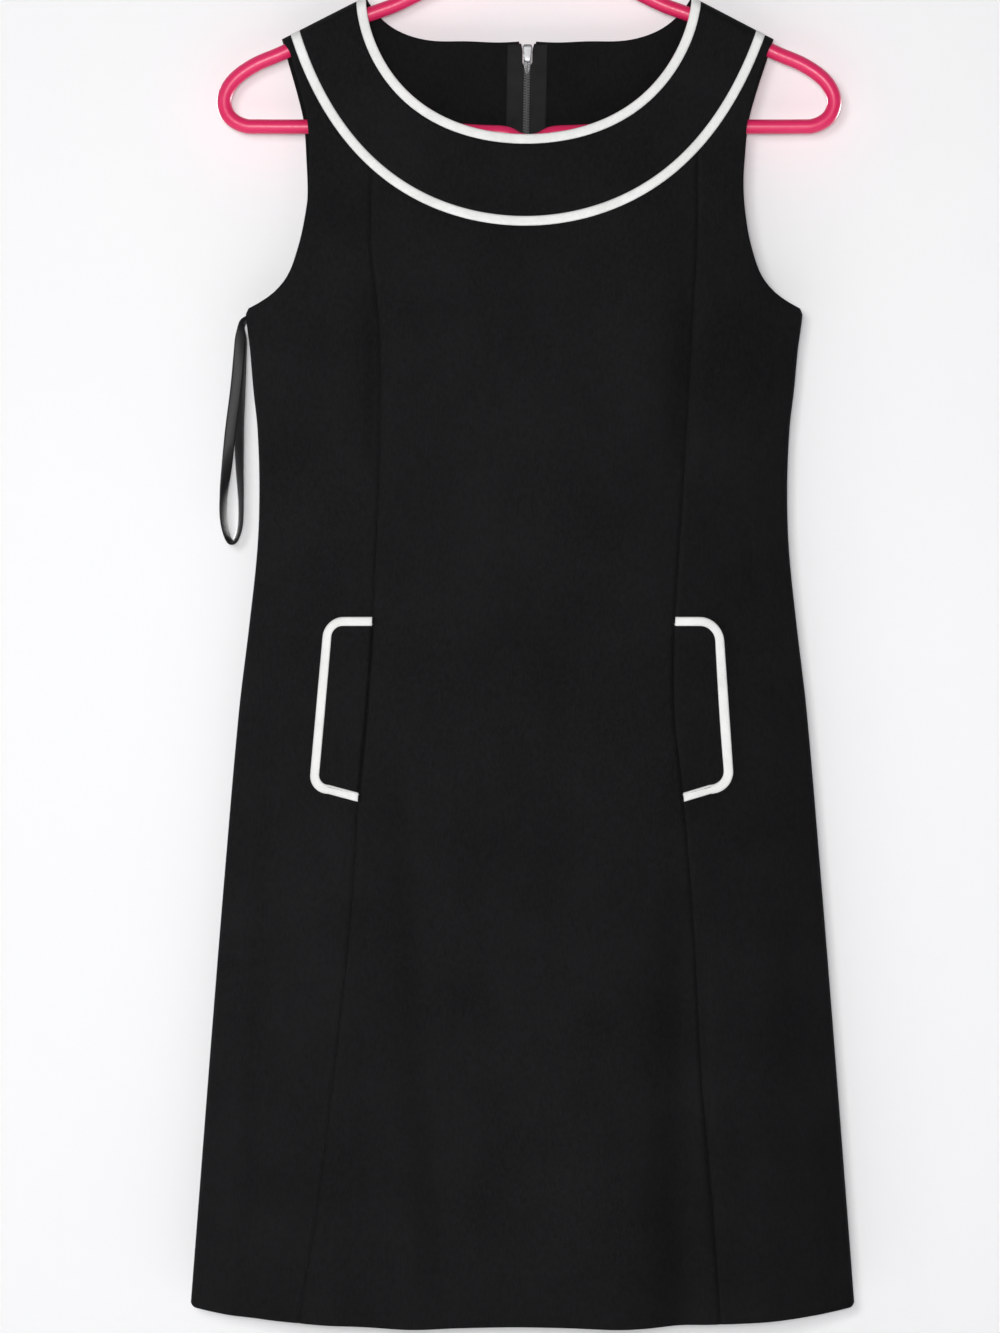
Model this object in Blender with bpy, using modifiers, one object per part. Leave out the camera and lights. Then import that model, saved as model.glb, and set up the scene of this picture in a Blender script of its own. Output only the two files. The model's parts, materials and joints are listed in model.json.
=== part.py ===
"""Sleeveless shift dress on a moulded hanger, as separate cloth panels with real walls.

Metres, +Z up. The origin is the inside top of the hanger's hook, where a rail holds it.
The dress faces -Y, with +X to the viewer's right. Heights are counted down from the hook.
"""

import math

import bmesh
import bpy
from mathutils import Vector

NAME = "shift_dress_on_hanger"

# Cloth and seams
CLOTH = 0.0012
BINDING = 0.0018
BINDING_PROUD = 0.0004
BINDING_WIDTH = 0.0065
TAPE = 0.0010
SEAM_GAP = 0.0003
LAID_ON_GAP = 0.0005
SWAY_TOP = -0.0004  # the dress hangs a little to one side of the hook, more so lower down
SWAY_MORE = -0.0044
SWAY_FALL = 0.17

# Outline of the hanging dress
NECK_HALF = 0.1171
NECK_TOP = -0.1379
NECK_DROP = 0.0985
NECK_SQUARE = 0.0015
SHOULDER_INNER = 0.1253
SHOULDER_HEIGHT = -0.1387
SHOULDER_SLOPE = 0.515
SHOULDER_TIP = 0.1770
SHOULDER_ROLL = 0.0090
SIDE_ROLL = 0.0035
ARMHOLE_ROLL = 0.0012
UNDERARM = -0.3605
YOKE_HALF = 0.1780
YOKE_TOP = -0.0855
YOKE_DROP = 0.2103
YOKE_SQUARE = 0.0022
BACK_NECK_DROP = 0.0307
BACK_NECK_CURVE = 6.2
LENS = 2.6  # how squarely a section of the dress bulges
FOLD_EDGE = 8  # how squarely the folds fade out towards the sides
HALF_GAP = 0.0002  # from the middle plane to each face of the dress where they meet

# Cross-sections: half width at the side seam, and how far the front, the back and the
# rolled edge stand out from the middle plane
SECTIONS = (
    {"height": -0.139, "half": 0.1960, "front": 0.0105, "back": 0.0100, "edge": 0.0090},
    {"height": -0.190, "half": 0.1980, "front": 0.0150, "back": 0.0120, "edge": 0.0088},
    {"height": -0.236, "half": 0.1990, "front": 0.0195, "back": 0.0135, "edge": 0.0080},
    {"height": -0.300, "half": 0.2000, "front": 0.0270, "back": 0.0155, "edge": 0.0065},
    {"height": -0.3605, "half": 0.2005, "front": 0.0325, "back": 0.0175, "edge": 0.0040},
    {"height": -0.389, "half": 0.1972, "front": 0.0345, "back": 0.0180, "edge": 0.0035},
    {"height": -0.418, "half": 0.1946, "front": 0.0340, "back": 0.0180, "edge": 0.0035},
    {"height": -0.446, "half": 0.1915, "front": 0.0320, "back": 0.0170, "edge": 0.0035},
    {"height": -0.490, "half": 0.1900, "front": 0.0285, "back": 0.0155, "edge": 0.0035},
    {"height": -0.533, "half": 0.1914, "front": 0.0280, "back": 0.0165, "edge": 0.0035},
    {"height": -0.590, "half": 0.1974, "front": 0.0305, "back": 0.0200, "edge": 0.0035},
    {"height": -0.648, "half": 0.2043, "front": 0.0335, "back": 0.0230, "edge": 0.0035},
    {"height": -0.763, "half": 0.2143, "front": 0.0375, "back": 0.0255, "edge": 0.0035},
    {"height": -0.878, "half": 0.2236, "front": 0.0410, "back": 0.0280, "edge": 0.0038},
    {"height": -0.994, "half": 0.2326, "front": 0.0450, "back": 0.0310, "edge": 0.0040},
    {"height": -1.090, "half": 0.2400, "front": 0.0480, "back": 0.0330, "edge": 0.0040},
)

# Half width of the dress along the armhole edge
ARMHOLE = (
    {"height": -0.1653, "half": 0.1770},
    {"height": -0.1800, "half": 0.1727},
    {"height": -0.2016, "half": 0.1661},
    {"height": -0.2232, "half": 0.1607},
    {"height": -0.2500, "half": 0.1584},
    {"height": -0.2770, "half": 0.1573},
    {"height": -0.3024, "half": 0.1595},
    {"height": -0.3200, "half": 0.1634},
    {"height": -0.3355, "half": 0.1692},
    {"height": -0.3460, "half": 0.1772},
    {"height": -0.3535, "half": 0.1870},
    {"height": -0.3605, "half": 0.2005},
)

# Princess seams, as each hangs
PRINCESS = (
    {"height": -0.2500, "left": -0.1098, "right": 0.1229},
    {"height": -0.3130, "left": -0.1099, "right": 0.1229},
    {"height": -0.3780, "left": -0.1032, "right": 0.1195},
    {"height": -0.4650, "left": -0.1028, "right": 0.1154},
    {"height": -0.5400, "left": -0.1056, "right": 0.1109},
    {"height": -0.6000, "left": -0.1083, "right": 0.1075},
    {"height": -0.6550, "left": -0.1122, "right": 0.1080},
    {"height": -0.7050, "left": -0.1168, "right": 0.1136},
    {"height": -0.8050, "left": -0.1233, "right": 0.1217},
    {"height": -0.9100, "left": -0.1347, "right": 0.1272},
    {"height": -1.0000, "left": -0.1457, "right": 0.1348},
    {"height": -1.0900, "left": -0.1602, "right": 0.1408},
)

# Soft folds in the hanging cloth. A fold runs from its top to its low end; reach is half its
# width, and rise is how far it stands out, negative for a trough.
FRONT_FOLDS = (
    {"name": "left bodice seam", "x": -0.104, "top": -0.335, "low_x": -0.104, "low": -0.500,
     "reach": 0.009, "rise": -0.0038},
    {"name": "right bodice seam", "x": 0.119, "top": -0.320, "low_x": 0.113, "low": -0.500,
     "reach": 0.009, "rise": -0.0034},
    {"name": "left bust", "x": -0.126, "top": -0.270, "low_x": -0.128, "low": -0.480,
     "reach": 0.024, "rise": 0.0042},
    {"name": "right bust", "x": 0.098, "top": -0.275, "low_x": 0.094, "low": -0.480,
     "reach": 0.026, "rise": 0.0042},
    {"name": "left hip trough", "x": -0.172, "top": -0.570, "low_x": -0.196, "low": -1.150,
     "reach": 0.012, "rise": -0.0056},
    {"name": "left skirt trough", "x": -0.088, "top": -0.590, "low_x": -0.052, "low": -1.120,
     "reach": 0.018, "rise": -0.0062},
    {"name": "left skirt ridge", "x": -0.121, "top": -0.700, "low_x": -0.146, "low": -1.250,
     "reach": 0.022, "rise": 0.0046},
    {"name": "left hem lobe", "x": -0.080, "top": -0.880, "low_x": -0.076, "low": -1.400,
     "reach": 0.034, "rise": 0.0048},
    {"name": "right hem lobe", "x": 0.064, "top": -0.820, "low_x": 0.072, "low": -1.400,
     "reach": 0.034, "rise": 0.0048},
    {"name": "right skirt trough", "x": 0.112, "top": -0.720, "low_x": 0.112, "low": -1.250,
     "reach": 0.016, "rise": -0.0054},
    {"name": "right side ridge", "x": 0.172, "top": -0.680, "low_x": 0.182, "low": -1.250,
     "reach": 0.026, "rise": 0.0046},
)
BACK_FOLDS = (
    {"name": "left back dart", "x": -0.095, "top": -0.350, "low_x": -0.100, "low": -0.640,
     "reach": 0.010, "rise": -0.0026},
    {"name": "right back dart", "x": 0.097, "top": -0.360, "low_x": 0.103, "low": -0.630,
     "reach": 0.010, "rise": -0.0026},
    {"name": "left back trough", "x": -0.130, "top": -0.640, "low_x": -0.150, "low": -1.200,
     "reach": 0.020, "rise": -0.0046},
    {"name": "middle back ridge", "x": 0.038, "top": -0.660, "low_x": 0.050, "low": -1.300,
     "reach": 0.034, "rise": 0.0032},
    {"name": "right back trough", "x": 0.140, "top": -0.700, "low_x": 0.156, "low": -1.250,
     "reach": 0.022, "rise": -0.0042},
)

# Hem line, from the side seams to the middle
HEM_SIDE = -1.0765
HEM_FRONT = -1.0842
HEM_BACK = -1.0835
HEM_CURVE = 6  # how squarely the hem turns up towards the side seams
HEM_LOBE = 0.0012  # how far the hem dips under each front lobe
HEM_LOBES = (-0.078, 0.070)
HEM_LOBE_REACH = 0.028

# Rows of cloth below the rolled shoulder, and turns of the rolls
PANEL_ROWS = (-0.190, -0.208, -0.226, -0.243, -0.2606, -0.290, -0.3168, -0.3355, -0.349, UNDERARM,
              -0.389, -0.418, -0.446, -0.490, -0.533, -0.575, -0.618, -0.661, -0.705,
              -0.765, -0.830, -0.895, -0.960, -1.020)
ROW_SNAP = 0.012  # a row this near the top of a princess seam starts there instead
ROLL_TURNS = tuple(math.radians(turn) for turn in (0, 7, 40, 90))
CENTRE_COLUMNS = 14
SIDE_COLUMNS = 7
BACK_COLUMNS = 8
STRAP_COLUMNS = 2
FALL_OF_YOKE_CURVE = 0.130  # depth over which rows of the centre front straighten out

# Pocket flaps, upright rectangles that lean with the seams
FLAPS = (
    {"side": "left", "sign": -1, "top": -0.5813, "bottom": -0.7130, "outer_top": 0.1420,
     "outer_low": 0.1535, "corner": 0.0140},
    {"side": "right", "sign": 1, "top": -0.5813, "bottom": -0.7130, "outer_top": 0.1425,
     "outer_low": 0.1515, "corner": 0.0170},
)
FLAP_RISE = 0.0055  # the bottom edge rises towards the outer side
FLAP_WIDTH = 0.0355
FLAP_BINDING = 0.0062
FLAP_COLUMNS = 3
FLAP_TURNS = 4
FLAP_SIDE_ROWS = 4

# Zip at the centre back
ZIP_TOP = -0.1675
ZIP_LENGTH = 0.500
ZIP_NOTCH_TOP = 0.0064
ZIP_NOTCH = 0.0037
ZIP_NOTCH_BOTTOM = -0.1810
ZIP_NOTCH_CLOSED = -0.1900
BACK_SEAM_HALF = 0.0005
CHAIN_WIDTH = 0.0046
CHAIN_THICK = 0.0018
CHAIN_PROUD = 0.0002  # how far the chain stands out past the tapes
TAPE_EDGE = 0.0145
TAPE_START = 0.0020  # below the back's neckline
TAPE_UNDER = 0.0010  # how far the tapes reach under the gap, at least
SLIDER_CLEAR = 0.0023
SLIDER_LENGTH = 0.0120
SLIDER_WIDTH = 0.0066
SLIDER_THICK = 0.0044
SLIDER_BEVEL = 0.0012
CROWN_RADIUS = 0.0005
CROWN_RISE = 0.0032
CROWN_HALF = 0.0031
CROWN_ROOT = 0.0004
CROWN_STEPS = 8
PULL_LENGTH = 0.0260
PULL_WIDTH = 0.0060
PULL_THICK = 0.0014
PULL_BAR = 0.00065  # half the height of the bar that the tab swings on
PULL_EYE = 0.0047
PULL_EYE_WIDTH = 0.0026
PULL_BEVEL = 0.0004
PULL_TILT = math.radians(3)  # it hangs just clear of the cloth

# Hanging ribbon: its loop, from the left underarm seam and back to it
RIBBON_RADIUS = 0.0016
RIBBON_ROUTE = (
    (-0.2066, -0.0020, -0.3690),
    (-0.2074, -0.0036, -0.3770),
    (-0.2086, -0.0044, -0.3930),
    (-0.2110, -0.0042, -0.4180),
    (-0.2146, -0.0036, -0.4460),
    (-0.2170, -0.0028, -0.4690),
    (-0.2192, -0.0018, -0.4900),
    (-0.2199, -0.0008, -0.5060),
    (-0.2187, 0.0000, -0.5170),
    (-0.2162, 0.0004, -0.5248),
    (-0.2137, 0.0006, -0.5268),
    (-0.2110, 0.0008, -0.5240),
    (-0.2086, 0.0010, -0.5160),
    (-0.2079, 0.0012, -0.5050),
    (-0.2082, 0.0018, -0.4880),
    (-0.2089, 0.0026, -0.4690),
    (-0.2091, 0.0032, -0.4440),
    (-0.2084, 0.0036, -0.4180),
    (-0.2076, 0.0038, -0.3930),
    (-0.2070, 0.0034, -0.3800),
    (-0.2068, 0.0022, -0.3725),
)

WELD = 0.00001  # points nearer than this are one point

# Hanger
TUBE_RADIUS = 0.0052
HOOK_RADIUS = 0.0045
HOOK_INNER = 0.0210
HOOK_OPEN_TURN = math.radians(200)
HOOK_LOW_TURN = math.radians(-60)
HOOK_STEPS = 22
BEND_STEPS = 6
HANGER_HALF = (  # right half of the loop's centre line, from the apex round to the bar's middle
    (0.0000, -0.1000),
    (0.0300, -0.1078),
    (0.0600, -0.1222),
    (0.0930, -0.1388),
    (0.1140, -0.1468),
    (0.1450, -0.1590),
    (0.1760, -0.1742),
    (0.1980, -0.1838),
    (0.2130, -0.1950),
    (0.2195, -0.2080),
    (0.2165, -0.2200),
    (0.2060, -0.2270),
    (0.1900, -0.2280),
    (0.1300, -0.2282),
    (0.0700, -0.2300),
    (0.0350, -0.2318),
    (0.0170, -0.2328),
    (0.0080, -0.2370),
    (0.0000, -0.2385),
)

LOOKS = {  # colour, roughness, metallic
    "crepe": ((0.012, 0.012, 0.013), 0.85, 0.0),
    "binding": ((0.84, 0.84, 0.82), 0.70, 0.0),
    "zip_tape": ((0.018, 0.018, 0.019), 0.90, 0.0),
    "zip_chain": ((0.10, 0.10, 0.10), 0.45, 0.0),
    "zip_metal": ((0.42, 0.42, 0.43), 0.30, 1.0),
    "ribbon": ((0.015, 0.015, 0.016), 0.45, 0.0),
    "hanger_plastic": ((0.72, 0.045, 0.16), 0.32, 0.0),
}


def along(rows, height, column):
    """The smooth value of a table's column at a height; the rows run downwards."""
    if height >= rows[0]["height"]:
        return rows[0][column]
    if height <= rows[-1]["height"]:
        return rows[-1][column]
    low = next(i for i, row in enumerate(rows) if row["height"] <= height)
    high = low - 1
    x0, x1 = rows[high]["height"], rows[low]["height"]
    span = x1 - x0

    def slope(i):
        above, below = rows[max(i - 1, 0)], rows[min(i + 1, len(rows) - 1)]
        return (below[column] - above[column]) / (below["height"] - above["height"])

    t = (height - x0) / span
    y0, y1 = rows[high][column], rows[low][column]
    m0, m1 = slope(high) * span, slope(low) * span
    return ((2 * t**3 - 3 * t**2 + 1) * y0 + (t**3 - 2 * t**2 + t) * m0
            + (3 * t**2 - 2 * t**3) * y1 + (t**3 - t**2) * m1)


def eased(t):
    t = min(max(t, 0.0), 1.0)
    return t * t * (3 - 2 * t)


def rolled(distance, radius):
    """A quarter circle from 0 at an edge to 1 at a radius in from it."""
    inward = min(max(distance / radius, 0.0), 1.0)
    return math.sqrt(1 - (1 - inward) ** 2)


def shoulder_line(x):
    return SHOULDER_HEIGHT - SHOULDER_SLOPE * (abs(x) - SHOULDER_INNER)


def fold_rise(folds, x, z):
    rise = 0.0
    for fold in folds:
        t = (z - fold["top"]) / (fold["low"] - fold["top"])
        if 0 < t < 1:
            middle = fold["x"] + t * (fold["low_x"] - fold["x"])
            fade = eased(t / 0.3) * eased((1 - t) / 0.25)
            rise += fold["rise"] * fade * math.exp(-(((x - middle) / fold["reach"]) ** 2))
    return rise


def stand_out(x, z, column, folds):
    """How far a face of the dress stands out from the middle plane."""
    half = along(SECTIONS, z, "half")
    edge = along(SECTIONS, z, "edge")
    depth = along(SECTIONS, z, column)
    share = min(abs(x) / half, 1.0)
    out = edge + (depth - edge) * (1 - share**LENS)
    out += fold_rise(folds, x, z) * (1 - share**FOLD_EDGE)
    out *= rolled(half - abs(x), SIDE_ROLL) * rolled(shoulder_line(x) - z, SHOULDER_ROLL)
    return HALF_GAP + out


def sway(z):
    return SWAY_TOP + SWAY_MORE * (1 - math.exp((z - SHOULDER_HEIGHT) / SWAY_FALL))


def front_at(x, z, raised=0.0):
    return Vector((sway(z) + x, -stand_out(x, z, "front", FRONT_FOLDS) - raised, z))


def back_at(x, z, raised=0.0):
    return Vector((sway(z) + x, stand_out(x, z, "back", BACK_FOLDS) + raised, z))


def hem_line(x, middle):
    half = SECTIONS[-1]["half"]
    return HEM_SIDE + (middle - HEM_SIDE) * (1 - min(abs(x) / half, 1.0) ** HEM_CURVE)


def front_hem(x):
    dip = sum(math.exp(-(((x - lobe) / HEM_LOBE_REACH) ** 2)) for lobe in HEM_LOBES)
    return hem_line(x, HEM_FRONT) - HEM_LOBE * dip


def material(slot):
    look = bpy.data.materials.get(slot)
    if look is None:
        colour, roughness, metallic = LOOKS[slot]
        look = bpy.data.materials.new(slot)
        look.use_nodes = True
        shader = look.node_tree.nodes["Principled BSDF"]
        shader.inputs["Base Color"].default_value = (*colour, 1)
        shader.inputs["Roughness"].default_value = roughness
        shader.inputs["Metallic"].default_value = metallic
    return look


def add_object(name, data, slot):
    obj = bpy.data.objects.new(name, data)
    bpy.data.collections[NAME].objects.link(obj)
    data.materials.append(material(slot))
    return obj


def sheet(name, rows, slot, thickness, facing):
    """A wall of cloth through rows of points: the rows give its outer face, which faces
    -Y or +Y, and the wall goes inwards from it."""
    bm = bmesh.new()
    grid = [[bm.verts.new(point) for point in row] for row in rows]
    for upper, lower in zip(grid, grid[1:]):
        for i in range(len(upper) - 1):
            bm.faces.new([upper[i], lower[i], lower[i + 1], upper[i + 1]])
    bm.normal_update()
    total = sum((face.normal * face.calc_area() for face in bm.faces), Vector())
    if total.y * facing < 0:
        bmesh.ops.reverse_faces(bm, faces=bm.faces[:])
    mesh = bpy.data.meshes.new(name)
    bm.to_mesh(mesh)
    bm.free()
    mesh.shade_smooth()
    obj = add_object(name, mesh, slot)
    wall = obj.modifiers.new("Wall", "SOLIDIFY")
    wall.thickness = thickness
    wall.offset = -1
    return obj


def oval(curve):
    """A curve that hangs round the neck, as a function that gives a point for a turn from
    its lowest point. A curve is its half width, the height of its widest point, its drop
    below that, and how square it is."""
    half, top, drop, square = curve

    def point(turn):
        return half * math.sin(turn) + square * math.sin(4 * turn), top - drop * math.cos(turn)
    return point


def turn_where(curve, is_below):
    """The turn at which such a curve stops being below something."""
    low, high = 0.0, math.radians(110)
    for _ in range(50):
        middle = (low + high) / 2
        if is_below(*oval(curve)(middle)):
            low = middle
        else:
            high = middle
    return low


def shoulder_turn(curve, drop=0.0):
    """The turn at which such a curve meets the shoulder line, or a line below it."""
    return turn_where(curve, lambda x, z: z < shoulder_line(x) - drop)


# The curves round the neck, from the inside out
NECK_EDGE = (NECK_HALF, NECK_TOP, NECK_DROP, NECK_SQUARE)
YOKE_EDGE = (YOKE_HALF, YOKE_TOP, YOKE_DROP, YOKE_SQUARE)
YOKE_SEAM = (YOKE_HALF + BINDING_WIDTH + SEAM_GAP, YOKE_TOP,
             YOKE_DROP + BINDING_WIDTH + SEAM_GAP, YOKE_SQUARE)


def grown(curve, outward):
    half, top, drop, square = curve
    return half + outward, top, drop + outward, square


def band(name, inner, outer, columns, slot, thickness, proud):
    """A strip of the front between two curves round the neck, ending at the shoulders."""
    shares = band_shares()
    strips = []
    for column in range(columns + 1):
        t = column / columns
        sizes = [a + t * (b - a) for a, b in zip(inner, outer)]
        end = shoulder_turn(sizes)
        strips.append([front_at(*oval(sizes)(end * share), raised=proud) for share in shares])
    return sheet(name, strips, slot, thickness, facing=-1)


def band_shares():
    """Places along a band, from -1 at one shoulder to 1 at the other, the same as the
    points of the fronts along the yoke's seam, so that facets meet facets."""
    end = shoulder_turn(YOKE_SEAM)
    tops = {side: princess_top(side) for side in ("left", "right")}
    xs = [-x for x in side_seam_half_widths(tops["left"])]
    left, right = (along(PRINCESS, tops[side], side) for side in ("left", "right"))
    xs += [left + (right - left) * i / CENTRE_COLUMNS for i in range(CENTRE_COLUMNS + 1)]
    xs += reversed(side_seam_half_widths(tops["right"]))
    return [math.copysign(yoke_seam_turn(x), x) / end for x in xs]


def side_seam_half_widths(seam_top):
    """Half widths at which the rows of a side front meet the yoke's seam, downwards."""
    on_roll = [oval(YOKE_SEAM)(shoulder_turn(YOKE_SEAM, drop))[0] for drop in shoulder_drops()]
    heights = [z for z in PANEL_ROWS if z > seam_top + ROW_SNAP]
    return on_roll + [yoke_seam_x(z) for z in heights]


def build_yoke():
    yoke_inner = grown(NECK_EDGE, BINDING_WIDTH + SEAM_GAP)
    band("neck_binding", NECK_EDGE, grown(NECK_EDGE, BINDING_WIDTH), 1, "binding",
         BINDING, BINDING_PROUD)
    band("yoke", yoke_inner, grown(YOKE_EDGE, -SEAM_GAP), 3, "crepe", CLOTH, 0)
    band("yoke_binding", YOKE_EDGE, grown(YOKE_EDGE, BINDING_WIDTH), 1, "binding",
         BINDING, BINDING_PROUD)


def yoke_seam_x(z):
    """Half width of the yoke's seam at a height."""
    return oval(YOKE_SEAM)(turn_where(YOKE_SEAM, lambda _, height: height < z))[0]


def yoke_seam_turn(x):
    return turn_where(YOKE_SEAM, lambda half, _: half < abs(x))


def yoke_seam_z(x):
    return oval(YOKE_SEAM)(yoke_seam_turn(x))[1]


def princess_top(side):
    """Where a princess seam leaves the yoke's seam."""
    z = yoke_seam_z(PRINCESS[0][side])
    for _ in range(6):
        z = yoke_seam_z(along(PRINCESS, z, side))
    return z


def spread(start, end, columns, roll):
    """Places across a panel: even from start, then close where the side rolls over."""
    sign = 1 if end > start else -1
    rolls = [end - sign * roll * (1 - math.cos(turn)) for turn in reversed(ROLL_TURNS)]
    inner = [start + (rolls[0] - start) * i / columns for i in range(columns)]
    return inner + rolls


def shoulder_drops():
    return [SHOULDER_ROLL * (1 - math.cos(turn)) for turn in ROLL_TURNS]


def outer_edge(z):
    return along(ARMHOLE, z, "half") if z > UNDERARM else along(SECTIONS, z, "half")


def build_side_front(side, sign):
    rows = []
    seam_top = princess_top(side)
    heights = [seam_top if abs(z - seam_top) < ROW_SNAP else z for z in PANEL_ROWS]
    for drop, half in zip(shoulder_drops(), side_seam_half_widths(seam_top)):
        start = sign * half
        across = spread(start, sign * SHOULDER_TIP, SIDE_COLUMNS, ARMHOLE_ROLL)
        rows.append([front_at(x, shoulder_line(x) - drop) for x in across])
    for z in heights:
        if z > seam_top:
            start = sign * yoke_seam_x(z)
        else:
            start = along(PRINCESS, z, side) + sign * SEAM_GAP / 2
        roll = SIDE_ROLL if z <= UNDERARM else ARMHOLE_ROLL
        across = spread(start, sign * outer_edge(z), SIDE_COLUMNS, roll)
        rows.append([front_at(x, z) for x in across])
    start = along(PRINCESS, HEM_SIDE, side) + sign * SEAM_GAP / 2
    across = spread(start, sign * outer_edge(HEM_SIDE), SIDE_COLUMNS, SIDE_ROLL)
    rows.append([front_at(x, front_hem(x)) for x in across])
    sheet(f"front_side_{side}", rows, "crepe", CLOTH, facing=-1)


def build_centre_front():
    tops = {side: princess_top(side) for side in ("left", "right")}
    heights = [z for z in PANEL_ROWS if z < min(tops.values()) - ROW_SNAP]
    rows = []
    for z in [None] + heights + [HEM_SIDE]:
        left = along(PRINCESS, tops["left"] if z is None else z, "left") + SEAM_GAP / 2
        right = along(PRINCESS, tops["right"] if z is None else z, "right") - SEAM_GAP / 2
        row = []
        for i in range(CENTRE_COLUMNS + 1):
            share = i / CENTRE_COLUMNS
            x = left + (right - left) * share
            level = tops["left"] + (tops["right"] - tops["left"]) * share
            if z is None:
                here = yoke_seam_z(x)
            elif z == HEM_SIDE:
                here = front_hem(x)
            else:
                dip = level - yoke_seam_z(x)
                here = z - dip * (1 - eased((level - z) / FALL_OF_YOKE_CURVE))
            row.append(front_at(x, here))
        rows.append(row)
    sheet("front_centre", rows, "crepe", CLOTH, facing=-1)


def back_top_line(x):
    """The back's upper edge: the low neckline, then the shoulder seam."""
    share = abs(x) / NECK_HALF
    if share < 1:
        return shoulder_line(NECK_HALF) - BACK_NECK_DROP * (1 - share**BACK_NECK_CURVE)
    return shoulder_line(x)


def centre_back_edge(z):
    """Half of the gap between the two backs, which widens into a notch round the slider."""
    if z > ZIP_NOTCH_BOTTOM:
        t = (z - ZIP_NOTCH_BOTTOM) / (back_top_line(0) - ZIP_NOTCH_BOTTOM)
        return ZIP_NOTCH + (ZIP_NOTCH_TOP - ZIP_NOTCH) * t**2
    t = (ZIP_NOTCH_BOTTOM - z) / (ZIP_NOTCH_BOTTOM - ZIP_NOTCH_CLOSED)
    return ZIP_NOTCH + (BACK_SEAM_HALF - ZIP_NOTCH) * eased(t)


def build_back(side, sign):
    rows = []
    neck_columns = BACK_COLUMNS - STRAP_COLUMNS
    # After the rolled rows, one more row is half way down to the level rows
    for drop, settle in [(drop, 0) for drop in shoulder_drops()] + [(SHOULDER_ROLL, 0.5)]:
        middle = centre_back_edge(back_top_line(0) - drop)
        turns = [math.pi / 2 * i / neck_columns for i in range(neck_columns)]
        across = [middle + (NECK_HALF - middle) * math.sin(turn) for turn in turns]
        across += spread(NECK_HALF, outer_edge(shoulder_line(SHOULDER_TIP) - drop),
                         STRAP_COLUMNS, ARMHOLE_ROLL)
        row = []
        for x in across:
            z = back_top_line(x) - drop
            z += (ZIP_NOTCH_BOTTOM - z) * settle
            row.append(back_at(sign * x, z))
        rows.append(row)
    for z in (ZIP_NOTCH_BOTTOM, ZIP_NOTCH_CLOSED) + PANEL_ROWS[1:]:
        roll = SIDE_ROLL if z <= UNDERARM else ARMHOLE_ROLL
        across = spread(sign * centre_back_edge(z), sign * outer_edge(z), BACK_COLUMNS, roll)
        rows.append([back_at(x, z) for x in across])
    across = spread(sign * BACK_SEAM_HALF, sign * outer_edge(HEM_SIDE), BACK_COLUMNS,
                    SIDE_ROLL)
    rows.append([back_at(x, hem_line(x, HEM_BACK)) for x in across])
    sheet(f"back_{side}", rows, "crepe", CLOTH, facing=1)


def flap_edge(flap, z):
    """Where the flap leaves the princess seam."""
    return along(PRINCESS, z, flap["side"]) + flap["sign"] * SEAM_GAP


def flap_side(flap, z):
    """Where the flap's straight outer side is at a height."""
    t = (z - flap["top"]) / (flap["bottom"] - flap["top"])
    return flap["sign"] * (flap["outer_top"] + (flap["outer_low"] - flap["outer_top"]) * t)


def flap_outline(flap, inset):
    """The free edge of a flap, from its top at the seam, round its outer side, to its
    bottom at the seam, set in by inset. Places across it are shares of its width."""
    radius = flap["corner"] - inset
    top, bottom = flap["top"] - inset, flap["bottom"] + inset
    corner_low = bottom + FLAP_RISE + radius
    side_run = top - radius - corner_low
    corner = radius / FLAP_WIDTH
    run = 1 - (radius + inset) / FLAP_WIDTH

    def place(share, z):
        start, end = flap_edge(flap, z), flap_side(flap, z)
        return start + (end - start) * share, z

    turns = [math.pi / 2 * i / FLAP_TURNS for i in range(FLAP_TURNS + 1)]
    points = [place(run * i / FLAP_COLUMNS, top) for i in range(FLAP_COLUMNS)]
    points += [place(run + corner * math.sin(turn), top - radius * (1 - math.cos(turn)))
               for turn in turns]
    points += [place(run + corner, top - radius - side_run * i / FLAP_SIDE_ROWS)
               for i in range(1, FLAP_SIDE_ROWS)]
    points += [place(run + corner * math.cos(turn), corner_low - radius * math.sin(turn))
               for turn in turns]
    points += [place(run * i / FLAP_COLUMNS,
                     bottom + FLAP_RISE * i / FLAP_COLUMNS)
               for i in reversed(range(FLAP_COLUMNS))]
    return points


def build_flap(flap):
    """A flap lies on the side front, so its points are the panel's own, moved out."""
    name = flap["side"]
    edge = flap_outline(flap, FLAP_BINDING + SEAM_GAP)
    rows = []
    turned = edge[FLAP_COLUMNS:-FLAP_COLUMNS]
    for index, (end, z) in enumerate(turned):
        # The last row lies along the bottom edge, which falls towards the seam
        start_z = edge[-1][1] if index == len(turned) - 1 else z
        start = flap_edge(flap, start_z)
        row = []
        for i in range(FLAP_COLUMNS + 1):
            t = i / FLAP_COLUMNS
            row.append(front_at(start + (end - start) * t, start_z + (z - start_z) * t,
                                raised=LAID_ON_GAP + CLOTH))
        rows.append(row)
    sheet(f"pocket_flap_{name}", rows, "crepe", CLOTH, facing=-1)
    strips = []
    for inset in (0, FLAP_BINDING):
        line = flap_outline(flap, inset)
        strips.append([front_at(x, z, raised=LAID_ON_GAP + BINDING) for x, z in line])
    sheet(f"flap_binding_{name}", strips, "binding", BINDING, facing=-1)


def rounded_box(name, size, centre, bevel, slot):
    bm = bmesh.new()
    bmesh.ops.create_cube(bm, size=1)
    bmesh.ops.scale(bm, vec=size, verts=bm.verts)
    mesh = bpy.data.meshes.new(name)
    bm.to_mesh(mesh)
    bm.free()
    obj = add_object(name, mesh, slot)
    obj.location = centre
    edges = obj.modifiers.new("Edges", "BEVEL")
    edges.width = bevel
    edges.segments = 2
    return obj


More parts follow.
